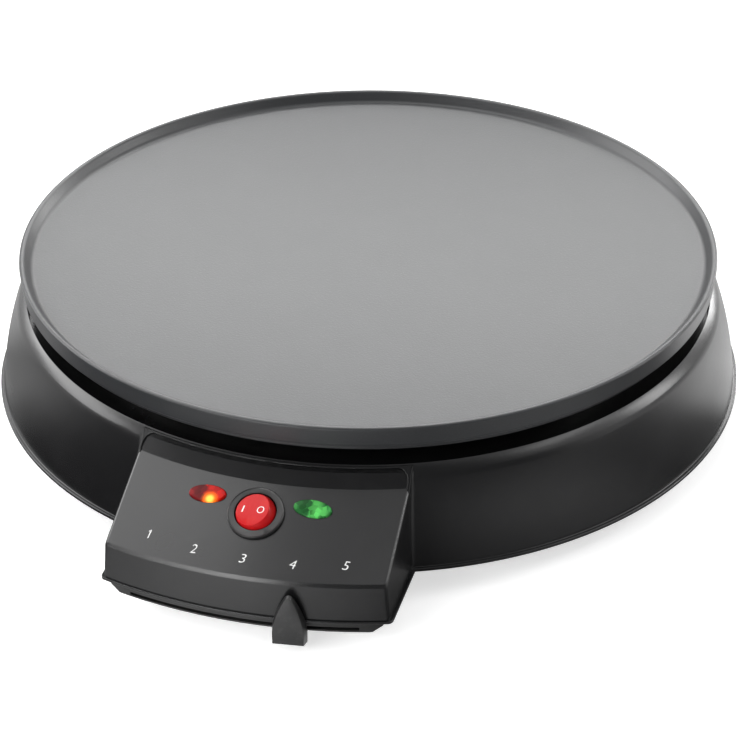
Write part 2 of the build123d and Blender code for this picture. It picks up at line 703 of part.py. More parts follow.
def on_panel_rim(edge):
    """True for the edges round the panel's top face, front and sides."""
    middle = edge.center()
    radius = sqrt(middle.X**2 + middle.Y**2)
    near_top = abs(middle.Z - cone_height(radius)) < PANEL_EDGE_ROUND
    return near_top and middle.Y < -PANEL_CREASE_R and radius > PANEL_CREASE_R + 2 * BROW_PROUD


# ------------------------------------------------------------------ base cover and feet
def dish(inset):
    """The round part of the base cover, filled up to its rim, or the space inside it."""
    z_low, z_high = Z_COVER + inset, Z_LIP + COVER_SKIRT + (OUT if inset else 0)
    z_bend = Z_LIP + COVER_SKIRT - COVER_T + inset
    bend_r = COVER_R - COVER_T * 2
    floor_r = bend_r - DISH_SLOPE_W
    if inset:
        corner = [(bend_r - inset / 2, z_bend), (bend_r - inset / 2, z_high)]
    else:
        corner = [(bend_r, z_bend), (COVER_R, z_bend), (COVER_R, z_high)]
    return turned(outline((0, z_low), (floor_r - inset / 2, z_low), *corner, (0, z_high)))


def tongue(inset):
    """The part of the base cover under the panel, filled up to its rim, or the space inside it."""
    z_low, z_lip = Z_COVER + inset, Z_LIP + (OUT if inset else 0)
    front = TONGUE_R if not inset else TONGUE_SKIRT_R - inset
    section = outline(
        (PANEL_CREASE_R - OUT, z_low),
        (front - TONGUE_CHAMFER, z_low),
        (front, z_low + TONGUE_CHAMFER),
        (front, z_lip),
        (PANEL_CREASE_R - OUT, z_lip),
    )
    half_high = PANEL_HALF_LOW - SHELL_WALL - COVER_FIT - inset
    half_low = half_high - TONGUE_SLOPE_W
    z_side = z_low + TONGUE_SLOPE_H
    sides = Polyline(
        (-half_low, z_low),
        (half_low, z_low),
        (half_high, z_side),
        (half_high, z_lip),
        (-half_high, z_lip),
        (-half_high, z_side),
        close=True,
    )
    return turned(section, PANEL_SPAN_ANGLE) & extrude(make_face(Plane.XZ * sides), amount=PANEL_R + OUT)


def tongue_skirt():
    """The upstand that locates the tongue inside the panel's walls."""
    section = outline(
        (PANEL_CREASE_R - OUT, Z_COVER + COVER_T),
        (TONGUE_SKIRT_R, Z_COVER + COVER_T),
        (TONGUE_SKIRT_R, Z_LIP + COVER_SKIRT),
        (PANEL_CREASE_R - OUT, Z_LIP + COVER_SKIRT),
    )
    half = PANEL_HALF_LOW - SHELL_WALL - COVER_FIT - COVER_SKIRT * tan(radians(PANEL_SIDE_ANGLE))
    return turned(section, PANEL_SPAN_ANGLE) & block((-half, half), (-PANEL_R - OUT, 0), (Z_LIP - COVER_T, Z_SHOULDER))


def slot_half_angle():
    """Half the slot's arc: the lever's travel, the arm's own width and a little room."""
    return LEVER_TRAVEL / 2 + degrees(asin((ARM_W / 2 + SLOT_SIDE) / TONGUE_SKIRT_R))


def base_cover():
    """Moulded cover: a dish with vents, and the tongue with the lever's slot."""
    cover = dish(0) + tongue(0) + tongue_skirt() - dish(COVER_T) - tongue(COVER_T)
    slot = outline(
        (TONGUE_SKIRT_R - OUT, Z_FLOOR),
        (TONGUE_R + OUT, Z_FLOOR),
        (TONGUE_R + OUT, Z_SLOT_TOP),
        (TONGUE_SKIRT_R - OUT, Z_SLOT_TOP),
    )
    cover -= turned(slot, 2 * slot_half_angle())
    vent = block((-VENT_W / 2, VENT_W / 2), (-VENT_L / 2, VENT_L / 2), (Z_COVER - OUT, Z_FLOOR + OUT))
    for index in range(VENT_COUNT):
        cover -= around(VENT_R, (index + 0.5) * 360 / VENT_COUNT) * vent
    for radius, angle in mirrored(FOOT_SPOTS):
        cover -= around(radius, angle) * disc(FOOT_STEM_R, Z_COVER - OUT, Z_FLOOR + OUT)
    for radius, angle in mirrored(PILLAR_SPOTS):
        cover -= around(radius, angle) * disc(COVER_SCREW_R + M4_HOLE, Z_COVER - OUT, Z_FLOOR + OUT)
    return cover


def rubber_feet():
    """Push-in feet: a round pad under the cover, a stem and a head above its floor."""
    foot = turned(
        outline(
            (0, 0),
            (FOOT_R, 0),
            (FOOT_R, Z_COVER),
            (FOOT_STEM_R, Z_COVER),
            (FOOT_STEM_R, Z_FLOOR),
            (FOOT_HEAD_R, Z_FLOOR),
            (FOOT_HEAD_R, Z_FLOOR + FOOT_HEAD_H),
            (0, Z_FLOOR + FOOT_HEAD_H),
        )
    )
    return together(around(radius, angle) * foot for radius, angle in mirrored(FOOT_SPOTS))


def cover_screws():
    """Screws up through the cover into the housing's pillars."""
    tip = Z_FLOOR + PILOT_DEPTH - M4_HOLE
    one = screw(COVER_SCREW_R, COVER_SCREW_HEAD_R, COVER_SCREW_HEAD_H, Z_COVER, tip)
    return together(around(radius, angle) * one for radius, angle in mirrored(PILLAR_SPOTS))


# ------------------------------------------------------------------ thermostat
def thermostat_plate():
    """Steel plate screwed flat against the hotplate's pad."""
    half_l, half_w = THERMO_L / 2, THERMO_W / 2
    plate = block((-half_l, half_l), (-half_w, half_w), (Z_THERMO, Z_CASTING))
    for side in (1, -1):
        hole = disc(M4_R + THREAD_FIT, Z_THERMO - OUT, Z_CASTING + OUT)
        plate -= Pos(side * THERMO_SCREW_X, 0, 0) * hole
    return plate


def thermostat_screws():
    """Two screws up into the hotplate's pad."""
    one = screw(M4_R, M4_HEAD_R, M4_HEAD_H, Z_THERMO, Z_UNDER - M4_HOLE)
    return together(Pos(side * THERMO_SCREW_X, 0, 0) * one for side in (1, -1))


def thermostat_frame():
    """Folded steel strap under the plate that carries the spindle's bush."""
    half_l, half_w = FRAME_L / 2, FRAME_W / 2
    strap = block((-half_l, half_l), (-half_w, half_w), (Z_FRAME - FRAME_T, Z_THERMO))
    inside = half_l - FRAME_T
    strap -= block((-inside, inside), (-OUT, OUT), (Z_FRAME, Z_THERMO + OUT))
    return strap - disc(SPINDLE_R + RUNNING_FIT + BUSH_WALL, Z_FRAME - OUT, Z_FRAME + OUT)


def stack_levels():
    """Heights of the stack, downwards: each insulator's top, with a blade under all but the last."""
    pitch = STACK_RING_H + BLADE_T
    return [Z_THERMO - index * pitch for index in range(4)]


def stack_insulators():
    """Ceramic rings that clamp the blades."""
    rings = [tube(STACK_R, RIVET_R, top - STACK_RING_H, top) for top in stack_levels()]
    return together(Pos(STACK_X, 0, 0) * ring for ring in rings)


def blade(top, reach):
    """A spring blade from the stack to past the spindle's axis, in place under its insulator."""
    z_high = top - STACK_RING_H
    strip = block((-reach, STACK_X + BLADE_TAIL), (-BLADE_W / 2, BLADE_W / 2), (z_high - BLADE_T, z_high))
    return strip - Pos(STACK_X, 0, 0) * disc(RIVET_R, z_high - OUT, z_high + OUT)


def bimetal_strip():
    """The strip next to the hotplate, which bends as it warms."""
    return blade(stack_levels()[0], BLADE_REACH / 2)


def contact_blades():
    """The fixed and the moving contact, each with its silver button."""
    fixed_top, moving_top = stack_levels()[1:3]
    fixed, moving = blade(fixed_top, BLADE_REACH), blade(moving_top, BLADE_REACH)
    spot = Pos(-BLADE_REACH + BLADE_W / 2, 0, 0)
    z_fixed = fixed_top - STACK_RING_H - BLADE_T
    z_moving = moving_top - STACK_RING_H
    fixed += spot * disc(CONTACT_R, z_fixed - CONTACT_H, z_fixed)
    moving += spot * disc(CONTACT_R, z_moving, z_moving + CONTACT_H)
    return together([fixed, moving])


def stack_rivet():
    """Rivet through the stack."""
    low = stack_levels()[3] - STACK_RING_H
    shank = disc(RIVET_R, low, Z_THERMO)
    return Pos(STACK_X, 0, 0) * (shank + disc(RIVET_HEAD_R, low - RIVET_HEAD_H, low))


def spindle_bush():
    """Brass bush in the frame, in which the spindle turns."""
    bore = SPINDLE_R + RUNNING_FIT
    barrel = tube(bore + BUSH_WALL, bore, Z_BUSH_END, Z_FRAME + BUSH_FLANGE_H)
    return barrel + tube(bore + BUSH_WALL + BUSH_FLANGE, bore, Z_FRAME, Z_FRAME + BUSH_FLANGE_H)


def flatted(radius, z_low, z_high):
    """A round bar with one flat, which turns what sits on it."""
    flat = block((radius - FLAT_DEPTH, radius + OUT), (-OUT, OUT), (z_low - OUT, z_high + OUT))
    return disc(radius, z_low, z_high) - flat


def thermostat_spindle():
    """Steel spindle: it presses the moving blade above, and the lever's arm turns it below."""
    top = stack_levels()[2] - STACK_RING_H - BLADE_T - END_PLAY
    shaft = disc(SPINDLE_R, Z_HUB_TOP, top)
    shaft += disc(SPINDLE_R + COLLAR_W, Z_BUSH_END - END_PLAY - COLLAR_H, Z_BUSH_END - END_PLAY)
    shaft += disc(SPINDLE_R + COLLAR_W, Z_HUB_TOP, Z_HUB_TOP + COLLAR_H)
    return shaft + flatted(SPINDLE_R, Z_HUB - 2 * CIRCLIP_T, Z_HUB_TOP)


def spindle_circlip():
    """Ring above the bush that keeps the spindle from dropping."""
    low = Z_FRAME + BUSH_FLANGE_H + END_PLAY
    return tube(SPINDLE_R + CIRCLIP_W, SPINDLE_R, low, low + CIRCLIP_T)


# ------------------------------------------------------------------ lever
def lever_arm():
    """Steel arm, cranked down from its hub so that it slides just above the cover's floor."""
    reach = KNOB_BACK_R + KNOB_BITE
    bend = ARM_CRANK_AT + ARM_CRANK_W
    side = Polyline(
        (-ARM_HUB_R / 2, Z_HUB),
        (ARM_CRANK_AT, Z_HUB),
        (bend, Z_ARM),
        (reach, Z_ARM),
        (reach, Z_ARM_TOP),
        (bend, Z_ARM_TOP),
        (ARM_CRANK_AT, Z_HUB_TOP),
        (-ARM_HUB_R / 2, Z_HUB_TOP),
        close=True,
    )
    strip = extrude(make_face(Plane.XZ * side), amount=ARM_W / 2, both=True)
    strip = Rot(0, 0, -90) * strip + disc(ARM_HUB_R, Z_HUB, Z_HUB_TOP)
    return strip - flatted(SPINDLE_R + RUNNING_FIT, Z_HUB - OUT, Z_HUB_TOP + OUT)


def arm_clip():
    """Star washer that holds the arm on the spindle."""
    return tube(SPINDLE_R + CIRCLIP_W, SPINDLE_R, Z_HUB - CIRCLIP_T, Z_HUB)


def lever_knob():
    """Moulded knob: a pointed arch in front view that thickens towards its foot."""
    z_top, z_wide = Z_KNOB + KNOB_H, Z_KNOB + KNOB_WIDE_AT
    half, foot = KNOB_W / 2, KNOB_FOOT_W / 2
    arch = face_of(
        Line((-foot, Z_KNOB), (foot, Z_KNOB)),
        Line((foot, Z_KNOB), (half, z_wide)),
        SagittaArc((half, z_wide), (0, z_top), -KNOB_ARCH),
        SagittaArc((0, z_top), (-half, z_wide), -KNOB_ARCH),
        Line((-half, z_wide), (-foot, Z_KNOB)),
    )
    arch = fillet(arch.vertices().sort_by(Axis.Z)[-1], KNOB_TIP_ROUND)
    front = extrude(arch, amount=KNOB_DEPTH, taper=KNOB_TAPER_ANGLE)
    back, tip = (0, z_top), (KNOB_TIP_DEPTH, z_top)
    low = (KNOB_DEPTH, Z_KNOB)
    side = face_of(SagittaArc(tip, low, KNOB_CROWN), Polyline(low, (0, Z_KNOB), back, tip))
    crowned = Rot(0, 0, -90) * extrude(side, amount=KNOB_W, both=True)
    knob = Pos(0, -KNOB_BACK_R, 0) * (front & crowned)
    neck_top = Z_LIP - KNOB_CLEAR
    knob += block(
        (-ARM_W / 2, ARM_W / 2),
        (-KNOB_BACK_R, -TONGUE_R - KNOB_CLEAR),
        (Z_ARM - (neck_top - Z_ARM_TOP), neck_top),
    )
    half_pocket = ARM_W / 2 + RUNNING_FIT
    pocket_end = KNOB_BACK_R + KNOB_BITE + RUNNING_FIT
    pocket = block(
        (-half_pocket, half_pocket),
        (-pocket_end, 0),
        (Z_ARM - RUNNING_FIT, Z_ARM_TOP + RUNNING_FIT),
    )
    return knob - pocket


# ------------------------------------------------------------------ switch, in the panel's own directions
def across(z_low, radius, depth):
    """A cylinder along the switch's Y axis."""
    return Pos(0, 0, z_low) * Rot(90, 0, 0) * Cylinder(radius, depth)


def switch_body():
    """Moulded body: bezel on the panel, barrel through it, a well for the rocker and a contact chamber."""
    z_floor = -CHAMBER_DEPTH
    body = disc(BARREL_R, z_floor - SWITCH_FLOOR, 0)
    bezel = disc(BEZEL_R, 0, BEZEL_H)
    body += chamfer(bezel.edges().group_by(Axis.Z)[-1], BEZEL_CHAMFER)
    body -= disc(WELL_R, -WELL_DEPTH, BEZEL_H + OUT)
    body -= disc(CHAMBER_R, z_floor, -WELL_DEPTH)
    body -= across(-ROCKER_PIVOT, PIVOT_PIN_R + RUNNING_FIT, 2 * BARREL_R)
    z_latch = -SHELL_WALL - LATCH_PLAY
    half = LATCH_W / 2
    root = (WELL_R + BARREL_R) / 2
    latch = block((root, BARREL_R + LATCH_PROUD), (-half, half), (z_latch - LATCH_H, z_latch))
    body += latch + Rot(0, 0, 180) * latch
    for x in terminal_places():
        body -= Pos(x, 0, 0) * terminal_blade(z_floor)
    return body


def terminal_places():
    """The three terminals: the bridge's pivot in the middle and a contact on each side."""
    return (-TERMINAL_PITCH, 0, TERMINAL_PITCH)


def terminal_blade(top):
    """A terminal from a height inside the switch to its tab below the body."""
    low = -CHAMBER_DEPTH - SWITCH_FLOOR - TERMINAL_L
    half_t, half_w = TERMINAL_T / 2, TERMINAL_W / 2
    return block((-half_t, half_t), (-half_w, half_w), (low, top))


def switch_terminals():
    """Brass terminals: the middle one carries the bridge, the side ones wait under its wings."""
    bridge_low = -ROCKER_PIVOT - BRIDGE_BELOW - BRIDGE_T / 2
    drop = TERMINAL_PITCH * tan(radians(BRIDGE_TILT)) + BRIDGE_FIT
    tops = {x: bridge_low - (drop if x else BRIDGE_FIT / 2) for x in terminal_places()}
    return together(Pos(x, 0, 0) * terminal_blade(top) for x, top in tops.items())


def rocker():
    """Red rocker: a ball cut flat on top, with two pivot pins and a hollow stem for the plunger."""
    low = (sqrt(ROCKER_R**2 - ROCKER_UNDER**2), -ROCKER_UNDER)
    high = (sqrt(ROCKER_R**2 - ROCKER_TOP**2), ROCKER_TOP)
    sag = ROCKER_R * (1 - cos((asin(ROCKER_UNDER / ROCKER_R) + asin(ROCKER_TOP / ROCKER_R)) / 2))
    side = bowed(low, high, sag, ROUND_BAND_COUNT)
    ball = turned(outline((0, -ROCKER_UNDER), *side, high, (0, ROCKER_TOP)))
    dish_r = (ROCKER_R**2 + ROCKER_DISH**2) / (2 * ROCKER_DISH)
    hollow = Pos(0, 0, ROCKER_TOP + dish_r - ROCKER_DISH) * Rot(90, 0, 0) * Cylinder(dish_r, 2 * OUT)
    ball -= hollow
    ball += across(0, PIVOT_PIN_R, 2 * PIVOT_PIN_END)
    ball += disc(STEM_R, -STEM_END, -ROCKER_UNDER)
    return ball - disc(PLUNGER_R + RUNNING_FIT, -STEM_END - OUT, -SPRING_END)


def plunger_spring():
    """Spring between the rocker and the plunger."""
    return tube(PLUNGER_R - RUNNING_FIT, PLUNGER_R / 2, -PLUNGER_BACK, -SPRING_END)


def switch_plunger():
    """Round-nosed plunger that rides over the contact bridge."""
    tip, root = (0, -PLUNGER_TIP), (PLUNGER_R, -PLUNGER_TIP + PLUNGER_R)
    nose = bowed(tip, root, PLUNGER_R * (1 - sqrt(0.5)), ROUND_BAND_COUNT // 2)
    return turned(outline(*nose, root, (PLUNGER_R, -PLUNGER_BACK), (0, -PLUNGER_BACK)))


def contact_bridge():
    """Copper see-saw under the plunger: its wings reach over the side terminals."""
    half_l, half_w, half_t = BRIDGE_L / 2, BRIDGE_W / 2, BRIDGE_T / 2
    return block((-half_l, half_l), (-half_w, half_w), (-half_t, half_t))


def in_switch(shape, below, tilt):
    """A shape drawn about its own pivot, tilted and placed in the switch."""
    return on_panel(SWITCH_AT_R, 0) * Pos(0, 0, -below) * Rot(0, tilt, 0) * shape


# ------------------------------------------------------------------ lamps
def lens():
    """Oval lens with a flange that stops behind the panel."""
    low = -SHELL_WALL - LENS_FIT
    window = oval(0, low, LENS_PROUD)
    window = chamfer(window.edges().group_by(Axis.Z)[-1], LENS_PROUD / 2)
    return window + oval(LENS_FLANGE, low - LENS_FLANGE_H, low)


def lamp_holder():
    """Sleeve behind the lens that grips the lamp."""
    top = -SHELL_WALL - LENS_FIT - LENS_FLANGE_H
    return tube(LAMP_R + LAMP_FIT + HOLDER_WALL, LAMP_R + LAMP_FIT, top - HOLDER_L, top)


def neon_lamp():
    """Glass indicator lamp with a rounded end towards the lens."""
    top = -SHELL_WALL - LENS_FIT - LENS_FLANGE_H - END_PLAY
    shoulder = top - LAMP_R / 2
    section = outline((0, top - LAMP_L), (LAMP_R, top - LAMP_L), (LAMP_R, shoulder), (LAMP_R / 2, top), (0, top))
    return turned(section)


# ------------------------------------------------------------------ electrical fittings
def cord_bush():
    """Inlet bush in the back wall: flange outside, snap ring inside."""
    barrel_r = INLET_BORE_R + INLET_WALL
    face = LIP_R - INLET_FLANGE_T
    inner = face - INLET_PAD_T
    snap = inner - RUNNING_FIT
    section = Polyline(
        (INLET_BORE_R, LIP_R),
        (barrel_r + INLET_FLANGE, LIP_R),
        (barrel_r + INLET_FLANGE, face),
        (barrel_r, face),
        (barrel_r, snap),
        (barrel_r + INLET_SNAP, snap),
        (barrel_r, snap - INLET_SNAP_L),
        (INLET_BORE_R, snap - INLET_SNAP_L),
        close=True,
    )
    bush = revolve(make_face(section), axis=Axis.Y)
    return Pos(0, 0, Z_INLET) * bush


def block_poles():
    """The terminal block's poles, side by side."""
    pitch = BLOCK_L / BLOCK_POLES
    return [Pos((index - (BLOCK_POLES - 1) / 2) * pitch, 0, 0) for index in range(BLOCK_POLES)]


def terminal_block():
    """Ceramic block on the cover's floor, with a screw well and a wire hole for each pole."""
    half_l, half_w = BLOCK_L / 2, BLOCK_W / 2
    top = Z_FLOOR + BLOCK_H
    body = block((-half_l, half_l), (-half_w, half_w), (Z_FLOOR, top))
    for pole in block_poles():
        body -= pole * disc(BLOCK_SCREW_R + THREAD_FIT, top - BLOCK_WELL_DEPTH, top + OUT)
        body -= pole * across(top - BLOCK_WELL_DEPTH, BLOCK_WIRE_R, BLOCK_W + OUT)
    return around(BLOCK_AT_R, BLOCK_AT_ANGLE) * body


def terminal_screws():
    """A clamp screw in each pole."""
    top = Z_FLOOR + BLOCK_H
    one = disc(BLOCK_SCREW_R, top - BLOCK_WELL_DEPTH + BLOCK_WIRE_R, top)
    return together(around(BLOCK_AT_R, BLOCK_AT_ANGLE) * pole * one for pole in block_poles())


def fuse_screw_offset():
    """From the fuse's axis to its clip's screw."""
    return FUSE_R + FUSE_CLIP_T + FUSE_FOOT_L / 2


def fuse_height():
    """The fuse's axis, just under the hotplate."""
    return Z_UNDER - FUSE_R - FUSE_FIT


def thermal_fuse():
    """One-shot fuse in its sleeve, held against the hotplate."""
    return around(FUSE_AT_R, 180, fuse_height()) * Rot(0, 90, 0) * Cylinder(FUSE_R, FUSE_L)


def fuse_clip():
    """Sprung strap over the fuse, with one foot screwed to the hotplate."""
    outer, inner = FUSE_R + FUSE_FIT + FUSE_CLIP_T, FUSE_R + FUSE_FIT
    half_w = FUSE_CLIP_W / 2
    across_x = Rot(0, 90, 0)
    strap = Pos(0, 0, fuse_height()) * across_x * Cylinder(outer, FUSE_CLIP_W)
    strap += block((-half_w, half_w), (-outer, outer), (fuse_height(), Z_UNDER))
    strap &= block((-half_w, half_w), (-outer, outer), (fuse_height() - outer, Z_UNDER))
    strap += block((-half_w, half_w), (0, outer + FUSE_FOOT_L), (Z_UNDER - FUSE_CLIP_T, Z_UNDER))
    strap -= Pos(0, 0, fuse_height()) * across_x * Cylinder(inner, FUSE_CLIP_W + OUT)
    strap -= block((-half_w - OUT, half_w + OUT), (-inner, inner), (fuse_height(), Z_UNDER + OUT))
    hole = disc(FUSE_SCREW_R + THREAD_FIT, Z_UNDER - OUT, Z_UNDER + OUT)
    return around(FUSE_AT_R, 180) * (strap - Pos(0, fuse_screw_offset(), 0) * hole)


def fuse_screw():
    """Screw through the clip's foot into the hotplate."""
    seat = Z_UNDER - FUSE_CLIP_T
    one = screw(FUSE_SCREW_R, FUSE_SCREW_HEAD_R, FUSE_SCREW_HEAD_H, seat, Z_UNDER + FUSE_SCREW_BITE)
    return around(FUSE_AT_R, 180) * Pos(0, fuse_screw_offset(), 0) * one


def earth_tag():
    """Earth tab on the hotplate's earth boss, bent down for its push-on connector."""
    top = Z_REFLECTOR - EARTH_DROP
    pad_r = EARTH_BOSS_R + EARTH_HOLE_EDGE
    tag = block((-TAB_W / 2, TAB_W / 2), (-pad_r, pad_r), (top - TAB_T, top))
    tag += block((-TAB_W / 2, TAB_W / 2), (pad_r - TAB_T, pad_r), (top - TAB_L, top))
    return around(*EARTH_AT) * (tag - disc(M4_R + THREAD_FIT, top - OUT, top + OUT))


def earth_screw():
    """Screw that holds the earth tag."""
    seat = Z_REFLECTOR - EARTH_DROP - TAB_T
    return around(*EARTH_AT) * screw(M4_R, M4_HEAD_R, M4_HEAD_H, seat, Z_UNDER - M4_HOLE)


# ------------------------------------------------------------------ every node, in its place
LEVER = Rot(0, 0, LEVER_REST)
ROCKER = (ROCKER_PIVOT, -ROCKER_TILT)
BRIDGE = (ROCKER_PIVOT + BRIDGE_BELOW, BRIDGE_TILT)

save("hotplate", hotplate())
save("heating_element", heating_element())
save("element_seals", element_seals())
save("element_tabs", element_tabs())
save("heat_reflector", heat_reflector())
save("plate_standoffs", plate_standoffs())
save("plate_screws", plate_screws())
save("upper_housing", upper_housing())
save("base_cover", base_cover())
save("rubber_feet", rubber_feet())
save("cover_screws", cover_screws())
save("thermostat_plate", thermostat_plate())
save("thermostat_screws", thermostat_screws())
save("thermostat_frame", thermostat_frame())
save("stack_insulators", stack_insulators())
save("bimetal_strip", bimetal_strip())
save("contact_blades", contact_blades())
save("stack_rivet", stack_rivet())
save("spindle_bush", spindle_bush())
save("thermostat_spindle", LEVER * thermostat_spindle())
save("spindle_circlip", LEVER * spindle_circlip())
save("lever_arm", LEVER * lever_arm())
save("arm_clip", LEVER * arm_clip())
save("lever_knob", LEVER * lever_knob())
save("switch_body", in_switch(switch_body(), 0, 0))
save("switch_terminals", in_switch(switch_terminals(), 0, 0))
save("rocker", in_switch(rocker(), *ROCKER))
save("plunger_spring", in_switch(plunger_spring(), *ROCKER))
save("switch_plunger", in_switch(switch_plunger(), *ROCKER))
save("contact_bridge", in_switch(contact_bridge(), *BRIDGE))
save("red_lens", lens_place(-1) * lens())
save("green_lens", lens_place(1) * lens())
save("lamp_holders", together(lens_place(side) * lamp_holder() for side in (-1, 1)))
save("neon_lamps", together(lens_place(side) * neon_lamp() for side in (-1, 1)))
save("cord_bush", cord_bush())
save("terminal_block", terminal_block())
save("terminal_screws", terminal_screws())
save("thermal_fuse", thermal_fuse())
save("fuse_clip", fuse_clip())
save("fuse_screw", fuse_screw())
save("earth_tag", earth_tag())
save("earth_screw", earth_screw())
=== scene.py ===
from math import cos, pi, radians, sin, tan

import bmesh
import bpy
from mathutils import Matrix, Vector


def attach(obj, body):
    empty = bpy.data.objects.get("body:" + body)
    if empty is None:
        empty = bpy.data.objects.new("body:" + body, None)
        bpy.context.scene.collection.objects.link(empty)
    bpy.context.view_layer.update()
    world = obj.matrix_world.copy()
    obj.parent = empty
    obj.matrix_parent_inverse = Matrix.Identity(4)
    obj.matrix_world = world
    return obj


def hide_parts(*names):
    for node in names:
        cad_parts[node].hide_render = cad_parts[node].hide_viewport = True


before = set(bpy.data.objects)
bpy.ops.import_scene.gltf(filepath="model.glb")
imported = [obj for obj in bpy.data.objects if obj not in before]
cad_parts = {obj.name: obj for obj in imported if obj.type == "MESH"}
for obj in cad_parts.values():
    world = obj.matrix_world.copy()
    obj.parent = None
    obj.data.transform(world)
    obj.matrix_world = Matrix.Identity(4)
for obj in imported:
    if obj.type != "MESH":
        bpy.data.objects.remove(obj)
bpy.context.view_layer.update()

# ---------------------------------------------------------------- hotplate
# A die-cast aluminium plate, turned flat on top inside its raised rim and coated all over with a
# non-stick finish: dark grey, satin, with fine pale flecks. It is carried on four posts.


def new_finish(name, colour, roughness, metal=0.0, specular=0.5):
    """A finish with its fixed values on the shader; the nodes for grain are added to it afterwards."""
    finish = bpy.data.materials.new(name)
    finish.use_nodes = True
    shader = finish.node_tree.nodes["Principled BSDF"]
    shader.inputs["Base Color"].default_value = (*colour, 1.0)
    shader.inputs["Roughness"].default_value = roughness
    shader.inputs["Metallic"].default_value = metal
    shader.inputs["Specular IOR Level"].default_value = specular
    return finish


def add_node(owner, kind, **settings):
    """A node in a finish or in the sky, with its settings and the values of its sockets."""
    node = owner.node_tree.nodes.new(kind)
    for key, value in settings.items():
        if key in node.inputs:
            node.inputs[key].default_value = value
        else:
            setattr(node, key, value)
    return node


def join(owner, *pairs):
    """Links between the owner's nodes, given as (node, output, node, input)."""
    for source, output, target, inlet in pairs:
        owner.node_tree.links.new(source.outputs[output], target.inputs[inlet])


def grain(finish, size, depth, spread):
    """Fine grain all over a finish: bumps of a size and depth in metres, and roughness that varies by
    spread."""
    shader = finish.node_tree.nodes["Principled BSDF"]
    roughness = shader.inputs["Roughness"].default_value
    coords = add_node(finish, "ShaderNodeTexCoord")
    fine = add_node(finish, "ShaderNodeTexNoise", Scale=1.0 / size, Detail=3.0, Roughness=0.6)
    broad = add_node(finish, "ShaderNodeTexNoise", Scale=0.06 / size, Detail=2.0, Roughness=0.5)
    bump = add_node(finish, "ShaderNodeBump", Strength=1.0, Distance=depth)
    vary = add_node(finish, "ShaderNodeMapRange")
    vary.inputs["To Min"].default_value = roughness - spread
    vary.inputs["To Max"].default_value = roughness + spread
    join(
        finish,
        (coords, "Object", fine, "Vector"),
        (coords, "Object", broad, "Vector"),
        (fine, "Fac", bump, "Height"),
        (bump, "Normal", shader, "Normal"),
        (broad, "Fac", vary, "Value"),
        (vary, "Result", shader, "Roughness"),
    )


def tinted(finish, second, size, share):
    """Flecks or clouds of a second colour over a share of the first; their size is in metres."""
    shader = finish.node_tree.nodes["Principled BSDF"]
    coords = add_node(finish, "ShaderNodeTexCoord")
    cloud = add_node(finish, "ShaderNodeTexNoise", Scale=1.0 / size, Detail=4.0, Roughness=0.7)
    ramp = add_node(finish, "ShaderNodeValToRGB")
    first, last = ramp.color_ramp.elements
    first.position, last.position = 1.0 - share, min(1.0, 1.15 - share)
    first.color = shader.inputs["Base Color"].default_value
    last.color = (*second, 1.0)
    join(
        finish,
        (coords, "Object", cloud, "Vector"),
        (cloud, "Fac", ramp, "Fac"),
        (ramp, "Color", shader, "Base Color"),
    )


SHARP_ANGLE = 28.0  # an edge that turns by more degrees is a sharp one


def eased(node, finish, body, width, steps, crease=SHARP_ANGLE):
    """A moulded piece with its real edges: the node's own shape, with every sharp edge rounded by a width
    in metres."""
    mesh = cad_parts[node].data.copy()
    shape = bmesh.new()
    shape.from_mesh(mesh)
    bmesh.ops.remove_doubles(shape, verts=shape.verts, dist=2e-6)
    bmesh.ops.dissolve_limit(
        shape, angle_limit=radians(0.4), use_dissolve_boundaries=False, verts=shape.verts, edges=shape.edges
    )
    for face in shape.faces:
        face.smooth = True
    shape.to_mesh(mesh)
    shape.free()
    mesh.materials.clear()
    mesh.materials.append(finish)
    piece = bpy.data.objects.new(node + "_piece", mesh)
    bpy.context.collection.objects.link(piece)
    bevel = piece.modifiers.new("edges", "BEVEL")
    bevel.width = width
    bevel.segments = steps
    bevel.limit_method = "ANGLE"
    bevel.angle_limit = radians(crease)
    bevel.harden_normals = True
    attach(piece, body)
    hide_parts(node)
    return piece


def dress(finish, *nodes):
    """Puts a finish on nodes that keep their own shape."""
    for node in nodes:
        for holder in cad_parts[node].material_slots:
            holder.material = finish


AXIS = Vector((0.0, 0.01995, 0.0))  # the plate's axis stands this far behind the footprint's middle
SWELL_STEP = 0.003  # length of the short straight runs that make up a swelling side


def drawn(corners, closed=True):
    """An outline in a plane through the axis, in millimetres: each corner's radius, height and rounding,
    and how far the side after it swells out."""
    shape = bmesh.new()
    points = [shape.verts.new((corner[0] / 1000, 0.0, corner[1] / 1000)) for corner in corners]
    ends = points[1:] + ([points[0]] if closed else [])
    sides = [shape.edges.new(pair) for pair in zip(points, ends)]
    for side, corner in zip(sides, corners):
        if len(corner) < 4:
            continue
        start, end = (vert.co.copy() for vert in side.verts)
        run = (end - start).normalized()
        pieces = max(4, round((end - start).length / SWELL_STEP))
        cut = bmesh.ops.subdivide_edges(shape, edges=[side], cuts=pieces - 1)
        for vert in cut["geom_inner"]:
            if isinstance(vert, bmesh.types.BMVert):
                share = (vert.co - start).length / (end - start).length
                swell = corner[3] / 1000 * 4 * share * (1 - share)
                vert.co += Vector((run.z, 0.0, -run.x)) * swell
    for corner in corners:
        if len(corner) > 2 and corner[2]:
            place = Vector((corner[0] / 1000, 0.0, corner[1] / 1000))
            point = min(shape.verts, key=lambda vert: (vert.co - place).length)
            bmesh.ops.bevel(
                shape, geom=[point], offset=corner[2] / 1000, offset_type="OFFSET", affect="VERTICES",
                segments=4, profile=0.5, material=-1,
            )
    return shape


